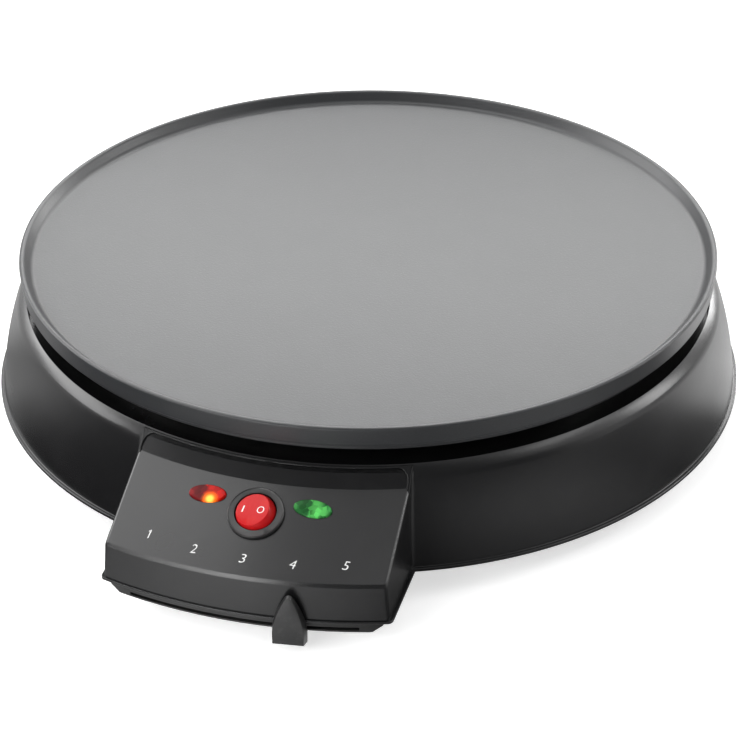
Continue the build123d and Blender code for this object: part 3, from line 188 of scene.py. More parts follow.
def turned(shape, steps, half_angle=180.0):
    """Turns an outline round the plate's axis, all the way or to each side of the panel's middle."""
    whole = half_angle == 180.0
    start = Matrix.Rotation(radians(-90.0 - (0.0 if whole else half_angle)), 3, "Z")
    bmesh.ops.rotate(shape, cent=(0, 0, 0), matrix=start, verts=shape.verts)
    bmesh.ops.spin(
        shape, geom=shape.verts[:] + shape.edges[:], cent=(0, 0, 0), axis=(0, 0, 1),
        angle=radians(2 * half_angle), steps=steps, use_merge=whole, use_duplicate=False,
    )
    bmesh.ops.remove_doubles(shape, verts=shape.verts, dist=1e-6)
    bmesh.ops.translate(shape, vec=AXIS, verts=shape.verts)
    bmesh.ops.recalc_face_normals(shape, faces=shape.faces)
    return shape


def made(name, shape, finish, body, slot, *nodes, edges=0.0):
    """The finished piece: smooth, with its finish, its sharp edges rounded by a width in millimetres, riding
    on its body in place of its nodes."""
    bmesh.ops.recalc_face_normals(shape, faces=shape.faces)
    for face in shape.faces:
        face.smooth = True
    mesh = bpy.data.meshes.new(name)
    shape.to_mesh(mesh)
    shape.free()
    mesh.set_sharp_from_angle(angle=radians(SHARP_ANGLE))
    mesh.materials.append(finish)
    piece = bpy.data.objects.new(name, mesh)
    bpy.context.collection.objects.link(piece)
    if edges:
        bevel = piece.modifiers.new("edges", "BEVEL")
        bevel.width = edges / 1000
        bevel.segments = 3
        bevel.limit_method = "ANGLE"
        bevel.angle_limit = radians(SHARP_ANGLE)
        bevel.use_clamp_overlap = False
    flat = piece.modifiers.new("flats", "WEIGHTED_NORMAL")
    flat.weight = 80
    flat.keep_sharp = True
    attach(piece, body)
    if nodes:
        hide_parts(*nodes)
    return piece


def boss(shape, radius, angle, size, low, high):
    """Adds an upright round boss at a radius and angle round the axis, in millimetres."""
    place = Matrix.Translation(AXIS) @ Matrix.Rotation(radians(angle), 4, "Z")
    place = place @ Matrix.Translation((0.0, -radius / 1000, (low + high) / 2000))
    bmesh.ops.create_cone(
        shape, cap_ends=True, segments=48, radius1=size / 1000, radius2=size / 1000,
        depth=(high - low) / 1000, matrix=place,
    )


plate_coating = new_finish("plate_coating", (0.027, 0.028, 0.030), 0.36)
grain(plate_coating, 0.0009, 0.00006, 0.012)
tinted(plate_coating, (0.055, 0.056, 0.059), 0.0009, 0.40)
PLATE_TOP, PLATE_UNDER = 69.5, 64.5  # heights in millimetres, as all sizes in the outlines are
RIM_TOP, RIM_LOW = 74.0, 65.0
SKIRT_LOW = 61.5
RIB_LOW = 60.0  # the two ribs that hold the heating element
BOSS_TOP = 64.6  # just inside the plate
ROUND_STEPS = 256
plate_shape = turned(
    drawn(
        [
            (0.0, PLATE_TOP), (149.7, PLATE_TOP, 1.4), (152.7, RIM_TOP, 0.9), (155.0, RIM_TOP, 1.0),
            (154.0, RIM_LOW, 0.7), (151.0, RIM_LOW, 0.3), (151.0, SKIRT_LOW, 0.9), (146.0, SKIRT_LOW, 0.4),
            (146.0, PLATE_UNDER, 0.8), (91.84, PLATE_UNDER, 0.5), (91.84, RIB_LOW, 0.6), (88.64, RIB_LOW),
            (88.64, 62.3), (86.82, 65.45), (83.18, 65.45), (81.36, 62.3), (81.36, RIB_LOW),
            (78.16, RIB_LOW, 0.6), (78.16, PLATE_UNDER, 0.5), (0.0, PLATE_UNDER),
        ],
        closed=False,
    ),
    ROUND_STEPS,
)
boss(plate_shape, 0.0, 0.0, 31.0, RIB_LOW, BOSS_TOP)  # for the thermostat
boss(plate_shape, 58.0, 225.0, 5.0, 54.2, BOSS_TOP)  # for the fuse
for boss_angle in (45.0, 135.0, 225.0, 315.0):
    boss(plate_shape, 108.0, boss_angle, 6.0, 58.0, BOSS_TOP)  # for a post
made("hotplate_casting", plate_shape, plate_coating, "base", "coated_aluminium", "hotplate")

# ---------------------------------------------------------------- heating element, reflector and posts
# A tubular steel element pressed into the plate's groove, closed by ceramic beads, over a sheet steel
# reflector; steel posts and screws clamp them to the housing's deck.
element_steel = new_finish("element_steel", (0.30, 0.26, 0.22), 0.45, metal=1.0)
grain(element_steel, 0.0015, 0.00003, 0.10)
tinted(element_steel, (0.20, 0.19, 0.21), 0.02, 0.5)
dress(element_steel, "heating_element")

zinc_steel = new_finish("zinc_steel", (0.56, 0.56, 0.55), 0.32, metal=1.0)
grain(zinc_steel, 0.0012, 0.00002, 0.08)
tinted(zinc_steel, (0.46, 0.45, 0.43), 0.012, 0.5)
dress(
    zinc_steel, "element_tabs", "heat_reflector", "plate_standoffs", "plate_screws", "thermostat_plate",
    "thermostat_screws", "thermostat_frame", "stack_rivet", "thermostat_spindle", "spindle_circlip",
    "arm_clip", "lever_arm", "plunger_spring", "fuse_clip", "fuse_screw", "earth_screw", "cover_screws",
)

steatite = new_finish("steatite", (0.70, 0.67, 0.60), 0.6)
grain(steatite, 0.0008, 0.00005, 0.08)
tinted(steatite, (0.62, 0.58, 0.50), 0.006, 0.4)
dress(steatite, "element_seals", "stack_insulators", "terminal_block")

# ---------------------------------------------------------------- thermostat
# A bimetal strip and two brass contact blades, riveted in a stack between ceramic rings; the lever's
# spindle turns in a brass bush under them.
strip_metal = new_finish("strip_metal", (0.46, 0.40, 0.32), 0.35, metal=1.0)
grain(strip_metal, 0.001, 0.00002, 0.08)
tinted(strip_metal, (0.40, 0.36, 0.33), 0.004, 0.5)
dress(strip_metal, "bimetal_strip")

plain_brass = new_finish("plain_brass", (0.60, 0.42, 0.16), 0.3, metal=1.0)
grain(plain_brass, 0.001, 0.00002, 0.08)
tinted(plain_brass, (0.46, 0.31, 0.13), 0.004, 0.45)
dress(plain_brass, "contact_blades", "spindle_bush", "switch_terminals", "contact_bridge",
      "terminal_screws", "earth_tag")

# ---------------------------------------------------------------- housing
# One moulding in satin black plastic: the bell with its shoulder and lip, the sloping control panel with
# a chamfered crease and rounded edges, the recess behind its top, and a fillet where its sides meet the bell.
housing_plastic = new_finish("housing_plastic", (0.0075, 0.0075, 0.008), 0.26)
grain(housing_plastic, 0.0012, 0.000025, 0.03)
tinted(housing_plastic, (0.010, 0.010, 0.0105), 0.03, 0.5)
LIP_LOW, LIP_TOP = 12.0, 13.5  # heights in millimetres
WALL_R, WALL_SWELL = 165.4, 1.3  # the bell's wall at the lip, and how far it swells out
SHOULDER_R, SHOULDER_LOW = 157.0, 51.5
NECK_R, SHOULDER_TOP = 152.7, 55.9
DECK_TOP, DECK_UNDER = 47.0, 44.5  # the deck under the hotplate
PANEL_HALF = 60.0  # half the panel's width, at the lip
PANEL_WALL = 2.5
SIDE_LEAN = 3.8  # the panel's sides lean in by this angle
PANEL_TURN, PANEL_STEPS = 26.0, 72  # the panel's parts are turned by this angle to each side, then cut
FRONT_LOW_R, FRONT_R, FRONT_TOP = 200.8, 200.0, 29.4  # the panel's front, at its foot and at its top
BACK_R, BACK_TOP = 158.4, 49.69  # the panel's back edge
SUNK_R = 156.5  # the panel ends here, inside the bell's wall
SLOPE = 26.0  # the panel's slope, in degrees
SLOPE_RISE = 0.4877  # and as a rise for each millimetre inwards
SWITCH_R = 173.6  # the switch's middle, from the plate's axis
LENS_R, LENS_ANGLE = 169.2, 7.49  # a lamp's lens, from the axis and to each side of the middle


def sided(shape, half, height, lean):
    """Cuts both sides of a part turn to planes that lean in, each half the width from the middle at a
    height, and closes them; in millimetres."""
    for side in (1, -1):
        normal = Vector((side * cos(radians(lean)), 0.0, sin(radians(lean))))
        cut = bmesh.ops.bisect_plane(
            shape, geom=shape.verts[:] + shape.edges[:] + shape.faces[:], dist=1e-7,
            plane_co=(side * half / 1000, 0.0, height / 1000), plane_no=normal, clear_outer=True,
        )
        rim = [edge for edge in cut["geom_cut"] if isinstance(edge, bmesh.types.BMEdge)]
        bmesh.ops.holes_fill(shape, edges=rim, sides=0)
    return shape


def bevelled(shape, edges, width, steps):
    """Cuts a chamfer along some edges in one step, or a round in more; in millimetres."""
    bmesh.ops.bevel(
        shape, geom=edges, offset=width / 1000, offset_type="OFFSET", affect="EDGES", segments=steps,
        profile=0.5, material=-1, clamp_overlap=False,
    )


def carved(piece, cutter_shape):
    """Cuts a shape out of a piece for good."""
    bmesh.ops.recalc_face_normals(cutter_shape, faces=cutter_shape.faces)
    cutter_mesh = bpy.data.meshes.new("cutter")
    cutter_shape.to_mesh(cutter_mesh)
    cutter_shape.free()
    cutter = bpy.data.objects.new("cutter", cutter_mesh)
    bpy.context.collection.objects.link(cutter)
    others = [(mod.name, mod.show_viewport) for mod in piece.modifiers]
    for mod in piece.modifiers:
        mod.show_viewport = False
    cut = piece.modifiers.new("cut", "BOOLEAN")
    cut.object = cutter
    cut.operation = "DIFFERENCE"
    cut.solver = "EXACT"
    bpy.context.view_layer.update()
    result = bpy.data.meshes.new_from_object(piece.evaluated_get(bpy.context.evaluated_depsgraph_get()))
    piece.modifiers.remove(cut)
    for name, shown in others:
        piece.modifiers[name].show_viewport = shown
    piece.data = result
    bpy.data.objects.remove(cutter)
    for polygon in result.polygons:
        polygon.use_smooth = True
    result.set_sharp_from_angle(angle=radians(SHARP_ANGLE))


def window():
    """The recess behind the panel's top, with round upper corners, as the shape that is cut out for it."""
    low, top, half_to_corner, corner = 46.21, 55.0, 51.34, 5.0
    shape = turned(drawn([(163.0, low), (179.3, low), (179.3, top), (153.84, top)]), 64, PANEL_TURN)
    for lean in (0.0, 15.0, 30.0, 45.0, 60.0, 75.0):
        out, up = cos(radians(lean)), sin(radians(lean))
        sided(shape, half_to_corner + corner * out, top - corner + corner * up, lean)
    return shape


def upright(radius, angle):
    """Where something stands on the panel: turned to the slope, at a radius and angle round the axis."""
    out = radians(angle)
    height = FRONT_TOP + (FRONT_R - radius) * SLOPE_RISE
    spot = Vector((sin(out) * radius, -cos(out) * radius, height)) / 1000
    slope = Matrix.Rotation(out, 4, "Z") @ Matrix.Rotation(radians(SLOPE), 4, "X")
    return Matrix.Translation(AXIS + spot) @ slope


def panel_inside():
    """The space inside the panel's walls, as the shape that is cut out for it."""
    low = LIP_LOW - 1.0
    outline = drawn([(150.0, low), (198.3, low), (197.5, 27.84), (163.34, DECK_UNDER), (150.0, DECK_UNDER)])
    return sided(turned(outline, PANEL_STEPS, PANEL_TURN), PANEL_HALF - PANEL_WALL, LIP_LOW, SIDE_LEAN)


def round_hole(place, half_long, half_wide, depth):
    """A round or oval hole across a wall, as the shape that is cut out for it; in millimetres."""
    hole = bmesh.new()
    bmesh.ops.create_cone(
        hole, cap_ends=True, segments=64, radius1=1.0, radius2=1.0, depth=depth / 1000,
        matrix=place @ Matrix.Diagonal((half_long / 1000, half_wide / 1000, 1.0, 1.0)),
    )
    return hole


bell = made(
    "housing_bell",
    turned(
        drawn(
            [
                (167.05, LIP_LOW, 0.4), (167.05, LIP_TOP, 0.6), (WALL_R, LIP_TOP, 0.5, WALL_SWELL),
                (SHOULDER_R, SHOULDER_LOW, 1.2, 0.3), (NECK_R, SHOULDER_TOP, 0.35), (NECK_R, DECK_TOP, 0.9),
                (98.6, DECK_TOP, 0.4), (98.6, 49.0, 0.5), (97.0, 49.0, 0.5), (97.0, DECK_UNDER, 0.3),
                (156.8, DECK_UNDER, 0.8, -1.0), (162.9, LIP_LOW, 0.3),
            ]
        ),
        ROUND_STEPS,
    ),
    housing_plastic, "base", "black_plastic", "upper_housing",
)
carved(bell, window())
carved(bell, panel_inside())
inlet_place = Matrix.Translation((0.0, 0.184, 0.025)) @ Matrix.Rotation(radians(90.0), 4, "X")
carved(bell, round_hole(inlet_place, half_long=6.1, half_wide=6.1, depth=20.0))

panel_outline = drawn(
    [
        (FRONT_LOW_R, LIP_LOW), (FRONT_R, FRONT_TOP), (BACK_R, BACK_TOP), (SUNK_R, BACK_TOP),
        (SUNK_R, LIP_LOW),
    ]
)
panel_shape = sided(turned(panel_outline, PANEL_STEPS, PANEL_TURN), PANEL_HALF, LIP_LOW, SIDE_LEAN)
CLOSE = 0.0006  # a cut leaves slivers narrower than this, which are merged before the edges are rounded
bmesh.ops.remove_doubles(panel_shape, verts=panel_shape.verts, dist=CLOSE)
crease_edges = [
    edge for edge in panel_shape.edges
    if all(abs(vert.co.z - FRONT_TOP / 1000) < 0.00001 for vert in edge.verts)
    and 0.8 < edge.calc_face_angle() < 1.3  # the crease turns by about 1.07 radians
]
bevelled(panel_shape, crease_edges, width=1.0, steps=1)
outer_edges = [edge for edge in panel_shape.edges if edge.calc_face_angle() > radians(50.0)]
bevelled(panel_shape, outer_edges, width=1.4, steps=5)
panel = made("housing_panel", panel_shape, housing_plastic, "base", "black_plastic", "upper_housing")
carved(panel, panel_inside())
carved(panel, round_hole(upright(SWITCH_R, 0.0), half_long=10.0, half_wide=10.0, depth=12.0))
for lens_angle in (-LENS_ANGLE, LENS_ANGLE):
    oval_place = upright(LENS_R, lens_angle) @ Matrix.Rotation(radians(-lens_angle), 4, "Z")
    carved(panel, round_hole(oval_place, half_long=8.05, half_wide=4.15, depth=12.0))

# the thin lip at the foot of the panel: its front, its inner end, half its width, and its top
PANEL_LIP_R, PANEL_LIP_IN_R, PANEL_LIP_HALF, PANEL_LIP_TOP = 201.6, 150.0, 61.3, 13.1
lip_outline = drawn(
    [
        (PANEL_LIP_R, LIP_LOW), (PANEL_LIP_R, PANEL_LIP_TOP), (PANEL_LIP_IN_R, PANEL_LIP_TOP),
        (PANEL_LIP_IN_R, LIP_LOW),
    ]
)
lip_shape = sided(turned(lip_outline, PANEL_STEPS, PANEL_TURN + 1.0), PANEL_LIP_HALF, LIP_LOW, 0.0)
bmesh.ops.remove_doubles(lip_shape, verts=lip_shape.verts, dist=CLOSE)
side_x = (PANEL_LIP_HALF - 0.1) / 1000
corner_y = min(vert.co.y for vert in lip_shape.verts if abs(vert.co.x) > side_x)
corners = [
    edge for edge in lip_shape.edges
    if all(abs(vert.co.x) > side_x and vert.co.y < corner_y + 0.0005 for vert in edge.verts)
]
bevelled(lip_shape, corners, width=2.5, steps=6)
panel_lip = made(
    "housing_panel_lip", lip_shape, housing_plastic, "base", "black_plastic", "upper_housing", edges=0.35
)
carved(panel_lip, panel_inside())

# the brow: the slope from the panel up to the bell's shoulder, round the recess
brow_outline = drawn(
    [(163.34, 45.82), (157.8, 52.3, 1.0), (154.0, 55.7, 0.45), (153.3, 55.3), (153.3, 45.82)]
)
brow = made(
    "housing_brow",
    sided(turned(brow_outline, PANEL_STEPS, PANEL_TURN), PANEL_HALF - 0.02, LIP_LOW, SIDE_LEAN),
    housing_plastic, "base", "black_plastic", "upper_housing", edges=0.3,
)
carved(brow, window())

ROOT = 2.2  # radius of the fillet between the panel's sides and the bell
ROOT_LOW, ROOT_RISE, ROOT_STEPS = 12.2, 41.4, 24  # it follows both walls upwards in steps
ROOT_PARTS = 6  # straight parts that make up its round
ROOT_IN, ROOT_BACK = 0.6, 0.9  # its hidden corner is this far inside the panel's side and the bell


def wall_radius(height):
    """The bell's outside radius at a height, in millimetres."""
    if height > SHOULDER_LOW:
        share = (height - SHOULDER_LOW) / (SHOULDER_TOP - SHOULDER_LOW)
        return SHOULDER_R - (SHOULDER_R - NECK_R) * share
    share = (height - LIP_TOP) / (SHOULDER_LOW - LIP_TOP)
    return WALL_R - (WALL_R - SHOULDER_R) * share + WALL_SWELL * 4 * share * (1 - share)


for side, side_name in ((1, "right"), (-1, "left")):
    fillet = bmesh.new()
    last_loop = []
    for step in range(ROOT_STEPS + 1):
        height = ROOT_LOW + ROOT_RISE * step / ROOT_STEPS
        radius, half = wall_radius(height), PANEL_HALF - (height - LIP_LOW) * tan(radians(SIDE_LEAN))
        middle_x = half + ROOT
        middle_y = -((radius + ROOT) ** 2 - middle_x**2) ** 0.5
        at_side = Vector((-1.0, 0.0, 0.0))
        at_bell = Vector((-middle_x, -middle_y, 0.0)).normalized()
        spots = [at_side.slerp(at_bell, part / ROOT_PARTS) * ROOT for part in range(ROOT_PARTS + 1)]
        spots = [Vector((middle_x, middle_y, height)) + spot for spot in spots]
        spots.append(Vector((half - ROOT_IN, spots[-1].y + ROOT_BACK, height)))
        verts = [fillet.verts.new((side * spot.x / 1000, spot.y / 1000, spot.z / 1000)) for spot in spots]
        loop = [fillet.edges.new((verts[n], verts[(n + 1) % len(verts)])) for n in range(len(verts))]
        if last_loop:
            bmesh.ops.bridge_loops(fillet, edges=last_loop + loop)
        last_loop = loop
    bmesh.ops.holes_fill(fillet, edges=[edge for edge in fillet.edges if edge.is_boundary], sides=0)
    bmesh.ops.translate(fillet, vec=AXIS, verts=fillet.verts)
    made("housing_root_" + side_name, fillet, housing_plastic, "base", "black_plastic", "upper_housing")

# ---------------------------------------------------------------- switch
# A snap-in rocker switch: a satin black body whose ring falls away outwards, a red rocker in thick
# translucent plastic, and a sprung plunger that tips the contact below.
switch_plastic = new_finish("switch_plastic", (0.022, 0.022, 0.022), 0.36)
grain(switch_plastic, 0.0008, 0.00001, 0.04)
tinted(switch_plastic, (0.028, 0.028, 0.028), 0.008, 0.5)
switch_body = eased("switch_body", switch_plastic, "base", 0.0003, 3)
RING_FACE, RING_EDGE = 0.0017, 0.0103  # above this height and outside this radius, in metres,
RING_FALL = 0.0006  # the ring stands this much lower
on_switch = upright(SWITCH_R, 0.0)
for vert in switch_body.data.vertices:
    place = on_switch.inverted() @ vert.co
    if place.z > RING_FACE and place.xy.length > RING_EDGE:
        vert.co = on_switch @ (place - Vector((0.0, 0.0, RING_FALL)))

rocker_plastic = new_finish("rocker_plastic", (0.50, 0.008, 0.010), 0.24, specular=0.11)
rocker_shader = rocker_plastic.node_tree.nodes["Principled BSDF"]
rocker_shader.inputs["Coat Weight"].default_value = 0.12
rocker_shader.inputs["Coat Roughness"].default_value = 0.08
rocker_shader.inputs["Subsurface Weight"].default_value = 0.25
rocker_shader.inputs["Subsurface Radius"].default_value = (0.003, 0.0006, 0.0004)
grain(rocker_plastic, 0.001, 0.000006, 0.04)
tinted(rocker_plastic, (0.54, 0.014, 0.013), 0.006, 0.5)
rocker = eased("rocker", rocker_plastic, "rocker", 0.0004, 3)

plunger_plastic = new_finish("plunger_plastic", (0.02, 0.02, 0.02), 0.5)
grain(plunger_plastic, 0.0006, 0.00001, 0.06)
tinted(plunger_plastic, (0.03, 0.03, 0.03), 0.004, 0.5)
dress(plunger_plastic, "switch_plunger")

# ---------------------------------------------------------------- lamps
# Two oval lenses in clear coloured plastic, cut with facets behind, each with a neon lamp in a white
# sleeve; the red one glows. The facets' darker and lighter colours are painted shade and light, and each
# lamp's glow is painted on its lens as a glowing spot, strong on the red one and faint on the green.
LENS_HALF = 0.0079  # half a lens's length, in metres
PAINTED_GLOW_SIZE = 0.0042  # from the glow's middle to its end, in metres


def faceted_lens(name, side, facet_colours_and_painted_shade, painted_glow, glow_at, strength):
    """A clear lens finish: facets whose colours change along the lens, given as pairs of place and colour,
    with their darker and lighter stops and each facet's own shade painted as light and shade; and the lamp's
    glow, painted on the lens as a glowing spot in its outer and inner colour."""
    finish = new_finish(name, facet_colours_and_painted_shade[0][1], 0.12, specular=0.10)
    shader = finish.node_tree.nodes["Principled BSDF"]
    shader.inputs["Emission Strength"].default_value = strength
    middle = upright(LENS_R, side * LENS_ANGLE).translation
    # the facets are cells along and across the slope, each with a shift and a painted shade of its own,
    # lighter or darker
    coords = add_node(finish, "ShaderNodeTexCoord")
    offset = add_node(finish, "ShaderNodeVectorMath", operation="SUBTRACT")
    offset.inputs[1].default_value = middle
    along = add_node(finish, "ShaderNodeVectorMath", operation="DOT_PRODUCT")
    along.inputs[1].default_value = (1 / LENS_HALF, 0.0, 0.0)
    across = add_node(finish, "ShaderNodeVectorMath", operation="DOT_PRODUCT")
    across.inputs[1].default_value = (0.0, cos(radians(SLOPE)) / LENS_HALF, sin(radians(SLOPE)) / LENS_HALF)
    flat = add_node(finish, "ShaderNodeCombineXYZ")
    cells = add_node(finish, "ShaderNodeTexVoronoi", Scale=3.4, Randomness=0.9)
    parts = add_node(finish, "ShaderNodeSeparateColor")
    shift = add_node(finish, "ShaderNodeMath", operation="MULTIPLY_ADD")
    shift.inputs[1].default_value = 0.55
    share = add_node(finish, "ShaderNodeMapRange")
    share.inputs["From Min"].default_value, share.inputs["From Max"].default_value = -0.9, 1.45
    facet_colour_and_painted_shade = add_node(finish, "ShaderNodeValToRGB")
    first, last = facet_colour_and_painted_shade.color_ramp.elements
    first.color, last.color = (*facet_colours_and_painted_shade[0][1], 1.0), (*facet_colours_and_painted_shade[-1][1], 1.0)
    for position, colour in facet_colours_and_painted_shade[1:-1]:
        facet_colour_and_painted_shade.color_ramp.elements.new(position).color = (*colour, 1.0)
    # each facet's painted shade: its colour made lighter or darker by a random amount
    painted_facet_shade = add_node(finish, "ShaderNodeMapRange")
    painted_facet_shade.inputs["To Min"].default_value, painted_facet_shade.inputs["To Max"].default_value = 0.55, 1.15
    shade = add_node(finish, "ShaderNodeVectorMath", operation="SCALE")
    # the painted glow fades with the distance from its middle
    place = add_node(finish, "ShaderNodeVectorMath", operation="DISTANCE")
    place.inputs[1].default_value = glow_at
    near = add_node(finish, "ShaderNodeMapRange", interpolation_type="SMOOTHSTEP")
    near.inputs["From Max"].default_value = PAINTED_GLOW_SIZE
    near.inputs["To Min"].default_value, near.inputs["To Max"].default_value = 1.0, 0.0
    spot = add_node(finish, "ShaderNodeValToRGB")
    dim, core = spot.color_ramp.elements
    dim.color, core.color, core.position = (0.0, 0.0, 0.0, 1.0), (*painted_glow[1], 1.0), 0.85
    spot.color_ramp.elements.new(0.5).color = (*painted_glow[0], 1.0)
    join(
        finish,
        (coords, "Object", offset, 0),
        (offset, 0, along, 0),
        (offset, 0, across, 0),
        (along, "Value", flat, "X"),
        (across, "Value", flat, "Y"),
        (flat, 0, cells, "Vector"),
        (cells, "Color", parts, 0),
        (parts, 0, shift, 0),
        (along, "Value", shift, 2),
        (shift, 0, share, "Value"),
        (share, "Result", facet_colour_and_painted_shade, "Fac"),
        (parts, 1, painted_facet_shade, "Value"),
        (facet_colour_and_painted_shade, "Color", shade, 0),
        (painted_facet_shade, "Result", shade, "Scale"),
        (shade, 0, shader, "Base Color"),
        (coords, "Object", place, 0),
        (place, "Value", near, "Value"),
        (near, "Result", spot, "Fac"),
        (spot, "Color", shader, "Emission Color"),
    )
    return finish


# the red lens: its facets' dark and bright colours are painted shade and light, and its lamp's glow is
# painted on it
red_clear = faceted_lens(
    "red_clear", -1,
    [
        (0.0, (0.30, 0.02, 0.02)), (0.2, (0.16, 0.008, 0.01)), (0.4, (0.12, 0.005, 0.007)),
        (0.5, (0.58, 0.010, 0.004)), (0.8, (0.60, 0.008, 0.004)), (1.0, (0.34, 0.004, 0.005)),
    ],
    painted_glow=((1.0, 0.22, 0.01), (1.0, 0.85, 0.12)), glow_at=Vector((-0.0204, -0.1506, 0.0442)), strength=1.1,
)
# the green lens: its facets' dark and bright colours are painted shade and light, with a faint painted glow
green_clear = faceted_lens(
    "green_clear", 1,
    [
        (0.0, (0.10, 0.46, 0.11)), (0.16, (0.02, 0.13, 0.03)), (0.4, (0.015, 0.10, 0.025)),
        (0.48, (0.09, 0.50, 0.10)), (0.75, (0.10, 0.52, 0.11)), (0.86, (0.02, 0.16, 0.04)),
        (1.0, (0.07, 0.40, 0.09)),
    ],
    painted_glow=((0.03, 0.14, 0.03), (0.08, 0.30, 0.08)), glow_at=Vector((0.0240, -0.1486, 0.0450)), strength=0.3,
)
eased("red_lens", red_clear, "base", 0.0004, 3)
eased("green_lens", green_clear, "base", 0.0004, 3)

sleeve_plastic = new_finish("sleeve_plastic", (0.66, 0.66, 0.63), 0.45)
grain(sleeve_plastic, 0.0008, 0.00002, 0.06)
tinted(sleeve_plastic, (0.60, 0.59, 0.55), 0.005, 0.5)
dress(sleeve_plastic, "lamp_holders", "thermal_fuse")

lamp_glass = new_finish("lamp_glass", (0.90, 0.80, 0.74), 0.08)
glass_shader = lamp_glass.node_tree.nodes["Principled BSDF"]
glass_shader.inputs["Transmission Weight"].default_value = 0.8
grain(lamp_glass, 0.003, 0.00001, 0.03)
dress(lamp_glass, "neon_lamps")

# ---------------------------------------------------------------- printed figures
# The five heat settings on the panel and the two marks on the rocker, pad-printed in white ink: a film
# a few hundredths of a millimetre thick that follows the surface under it.
white_ink = new_finish("white_ink", (0.78, 0.78, 0.77), 0.45)
grain(white_ink, 0.0005, 0.000004, 0.05)
tinted(white_ink, (0.70, 0.70, 0.69), 0.0012, 0.4)
INK_THICK, INK_LIFT = 0.00002, 0.00003  # the film's thickness, and how far its middle stands off
FIGURE_HIGH, FIGURE_SLANT = 4.0, 0.16


def printed(name, figure, wide, high, slant, place, under, body):
    """A figure of a width and height in millimetres, slanted, laid on the piece under it."""
    text = bpy.data.curves.new(name, "FONT")
    text.body = figure
    text.extrude = 0.02
    text.offset = -0.008  # thins the strokes
    text.resolution_u = 6
    holder = bpy.data.objects.new(name, text)
    bpy.context.collection.objects.link(holder)
    depsgraph = bpy.context.evaluated_depsgraph_get()
    mesh = bpy.data.meshes.new_from_object(holder.evaluated_get(depsgraph))
    bpy.data.objects.remove(holder)
    shape = bmesh.new()
    shape.from_mesh(mesh)
    bmesh.ops.remove_doubles(shape, verts=shape.verts, dist=1e-5)
    least = Vector(min(vert.co[axis] for vert in shape.verts) for axis in range(3))
    most = Vector(max(vert.co[axis] for vert in shape.verts) for axis in range(3))
    span = most - least
    bmesh.ops.translate(shape, vec=-(least + most) / 2, verts=shape.verts)
    size = (wide / span.x / 1000, high / span.y / 1000, INK_THICK / span.z)
    bmesh.ops.scale(shape, vec=size, verts=shape.verts)
    lean = Matrix.Identity(4)
    lean[0][1] = slant
    bmesh.ops.transform(shape, matrix=place @ lean, verts=shape.verts)
    outward = place.to_3x3() @ Vector((0.0, 0.0, 1.0))
    surface = under.evaluated_get(depsgraph)
    for vert in shape.verts:
        lifted = (vert.co - place.translation).dot(outward)
        spot = surface.ray_cast(vert.co + outward * 0.01, -outward)[1]
        vert.co = spot + outward * (lifted + INK_LIFT)
    for face in shape.faces:
        face.smooth = False
    shape.to_mesh(mesh)
    shape.free()
    mesh.materials.clear()
    mesh.materials.append(white_ink)
    piece = bpy.data.objects.new(name, mesh)
    bpy.context.collection.objects.link(piece)
    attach(piece, body)


# each setting's figure, its width, and its place: radius and angle round the plate's axis
for figure, wide, spot_radius, spot_angle in (
    ("1", 0.45, 190.8, -12.4), ("2", 2.3, 192.0, -6.2), ("3", 2.2, 192.2, 0.0), ("4", 2.5, 192.2, 6.1),
    ("5", 2.2, 191.6, 12.4),
):
    straight = upright(spot_radius, spot_angle) @ Matrix.Rotation(radians(-spot_angle), 4, "Z")
    printed(
        "setting_" + figure, figure, wide, FIGURE_HIGH, FIGURE_SLANT, straight, panel, "base"
    )
    if figure == "1":
        # the font's 1 is a plain stroke, so its flag is a second, short one
        flag = straight @ Matrix.Translation((-0.0001, 0.0015, 0.0)) @ Matrix.Rotation(radians(-58.0), 4, "Z")
        printed("setting_1_flag", "I", 0.35, 1.2, 0.0, flag, panel, "base")
for name, mark, wide, high, slant, spot in (
    ("mark_on", "I", 0.6, 3.0, 0.12, (-0.0051, 0.0002, 0.004)),
    ("mark_off", "O", 3.1, 3.1, 0.0, (0.0025, 0.0, 0.004)),
):
    place = on_switch @ Matrix.Translation(spot)
    printed(name, mark, wide, high, slant, place, rocker, "rocker")

# ---------------------------------------------------------------- lever's knob
# A pointed-arch knob moulded in satin black plastic. It is pushed on the end of the steel lever and
# slides to and fro under the panel with it.
knob_plastic = new_finish("knob_plastic", (0.012, 0.012, 0.0125), 0.34)
grain(knob_plastic, 0.0008, 0.00002, 0.04)
tinted(knob_plastic, (0.024, 0.024, 0.024), 0.006, 0.5)
eased("lever_knob", knob_plastic, "lever", 0.0005, 3, 20.0)

# ---------------------------------------------------------------- cord inlet
# A round bush for the mains cord, moulded in matt black rubber. It is snapped into a hole in the back
# of the bell.
bush_rubber = new_finish("bush_rubber", (0.014, 0.014, 0.014), 0.6)
grain(bush_rubber, 0.0008, 0.00005, 0.08)
tinted(bush_rubber, (0.024, 0.023, 0.022), 0.006, 0.5)
eased("cord_bush", bush_rubber, "base", 0.0004, 2)

# ---------------------------------------------------------------- base cover and feet
# The moulded cover that closes the underside, in a duller black than the housing, with vents and a tongue
# with the lever's slot. Screws hold it, and it stands on four rubber feet.
cover_plastic = new_finish("cover_plastic", (0.013, 0.013, 0.013), 0.42)
grain(cover_plastic, 0.0007, 0.00004, 0.05)
tinted(cover_plastic, (0.019, 0.019, 0.019), 0.02, 0.5)
eased("base_cover", cover_plastic, "base", 0.0004, 2)

foot_rubber = new_finish("foot_rubber", (0.016, 0.016, 0.016), 0.7)
grain(foot_rubber, 0.0008, 0.00006, 0.08)
tinted(foot_rubber, (0.03, 0.029, 0.028), 0.008, 0.4)
eased("rubber_feet", foot_rubber, "base", 0.0008, 3)

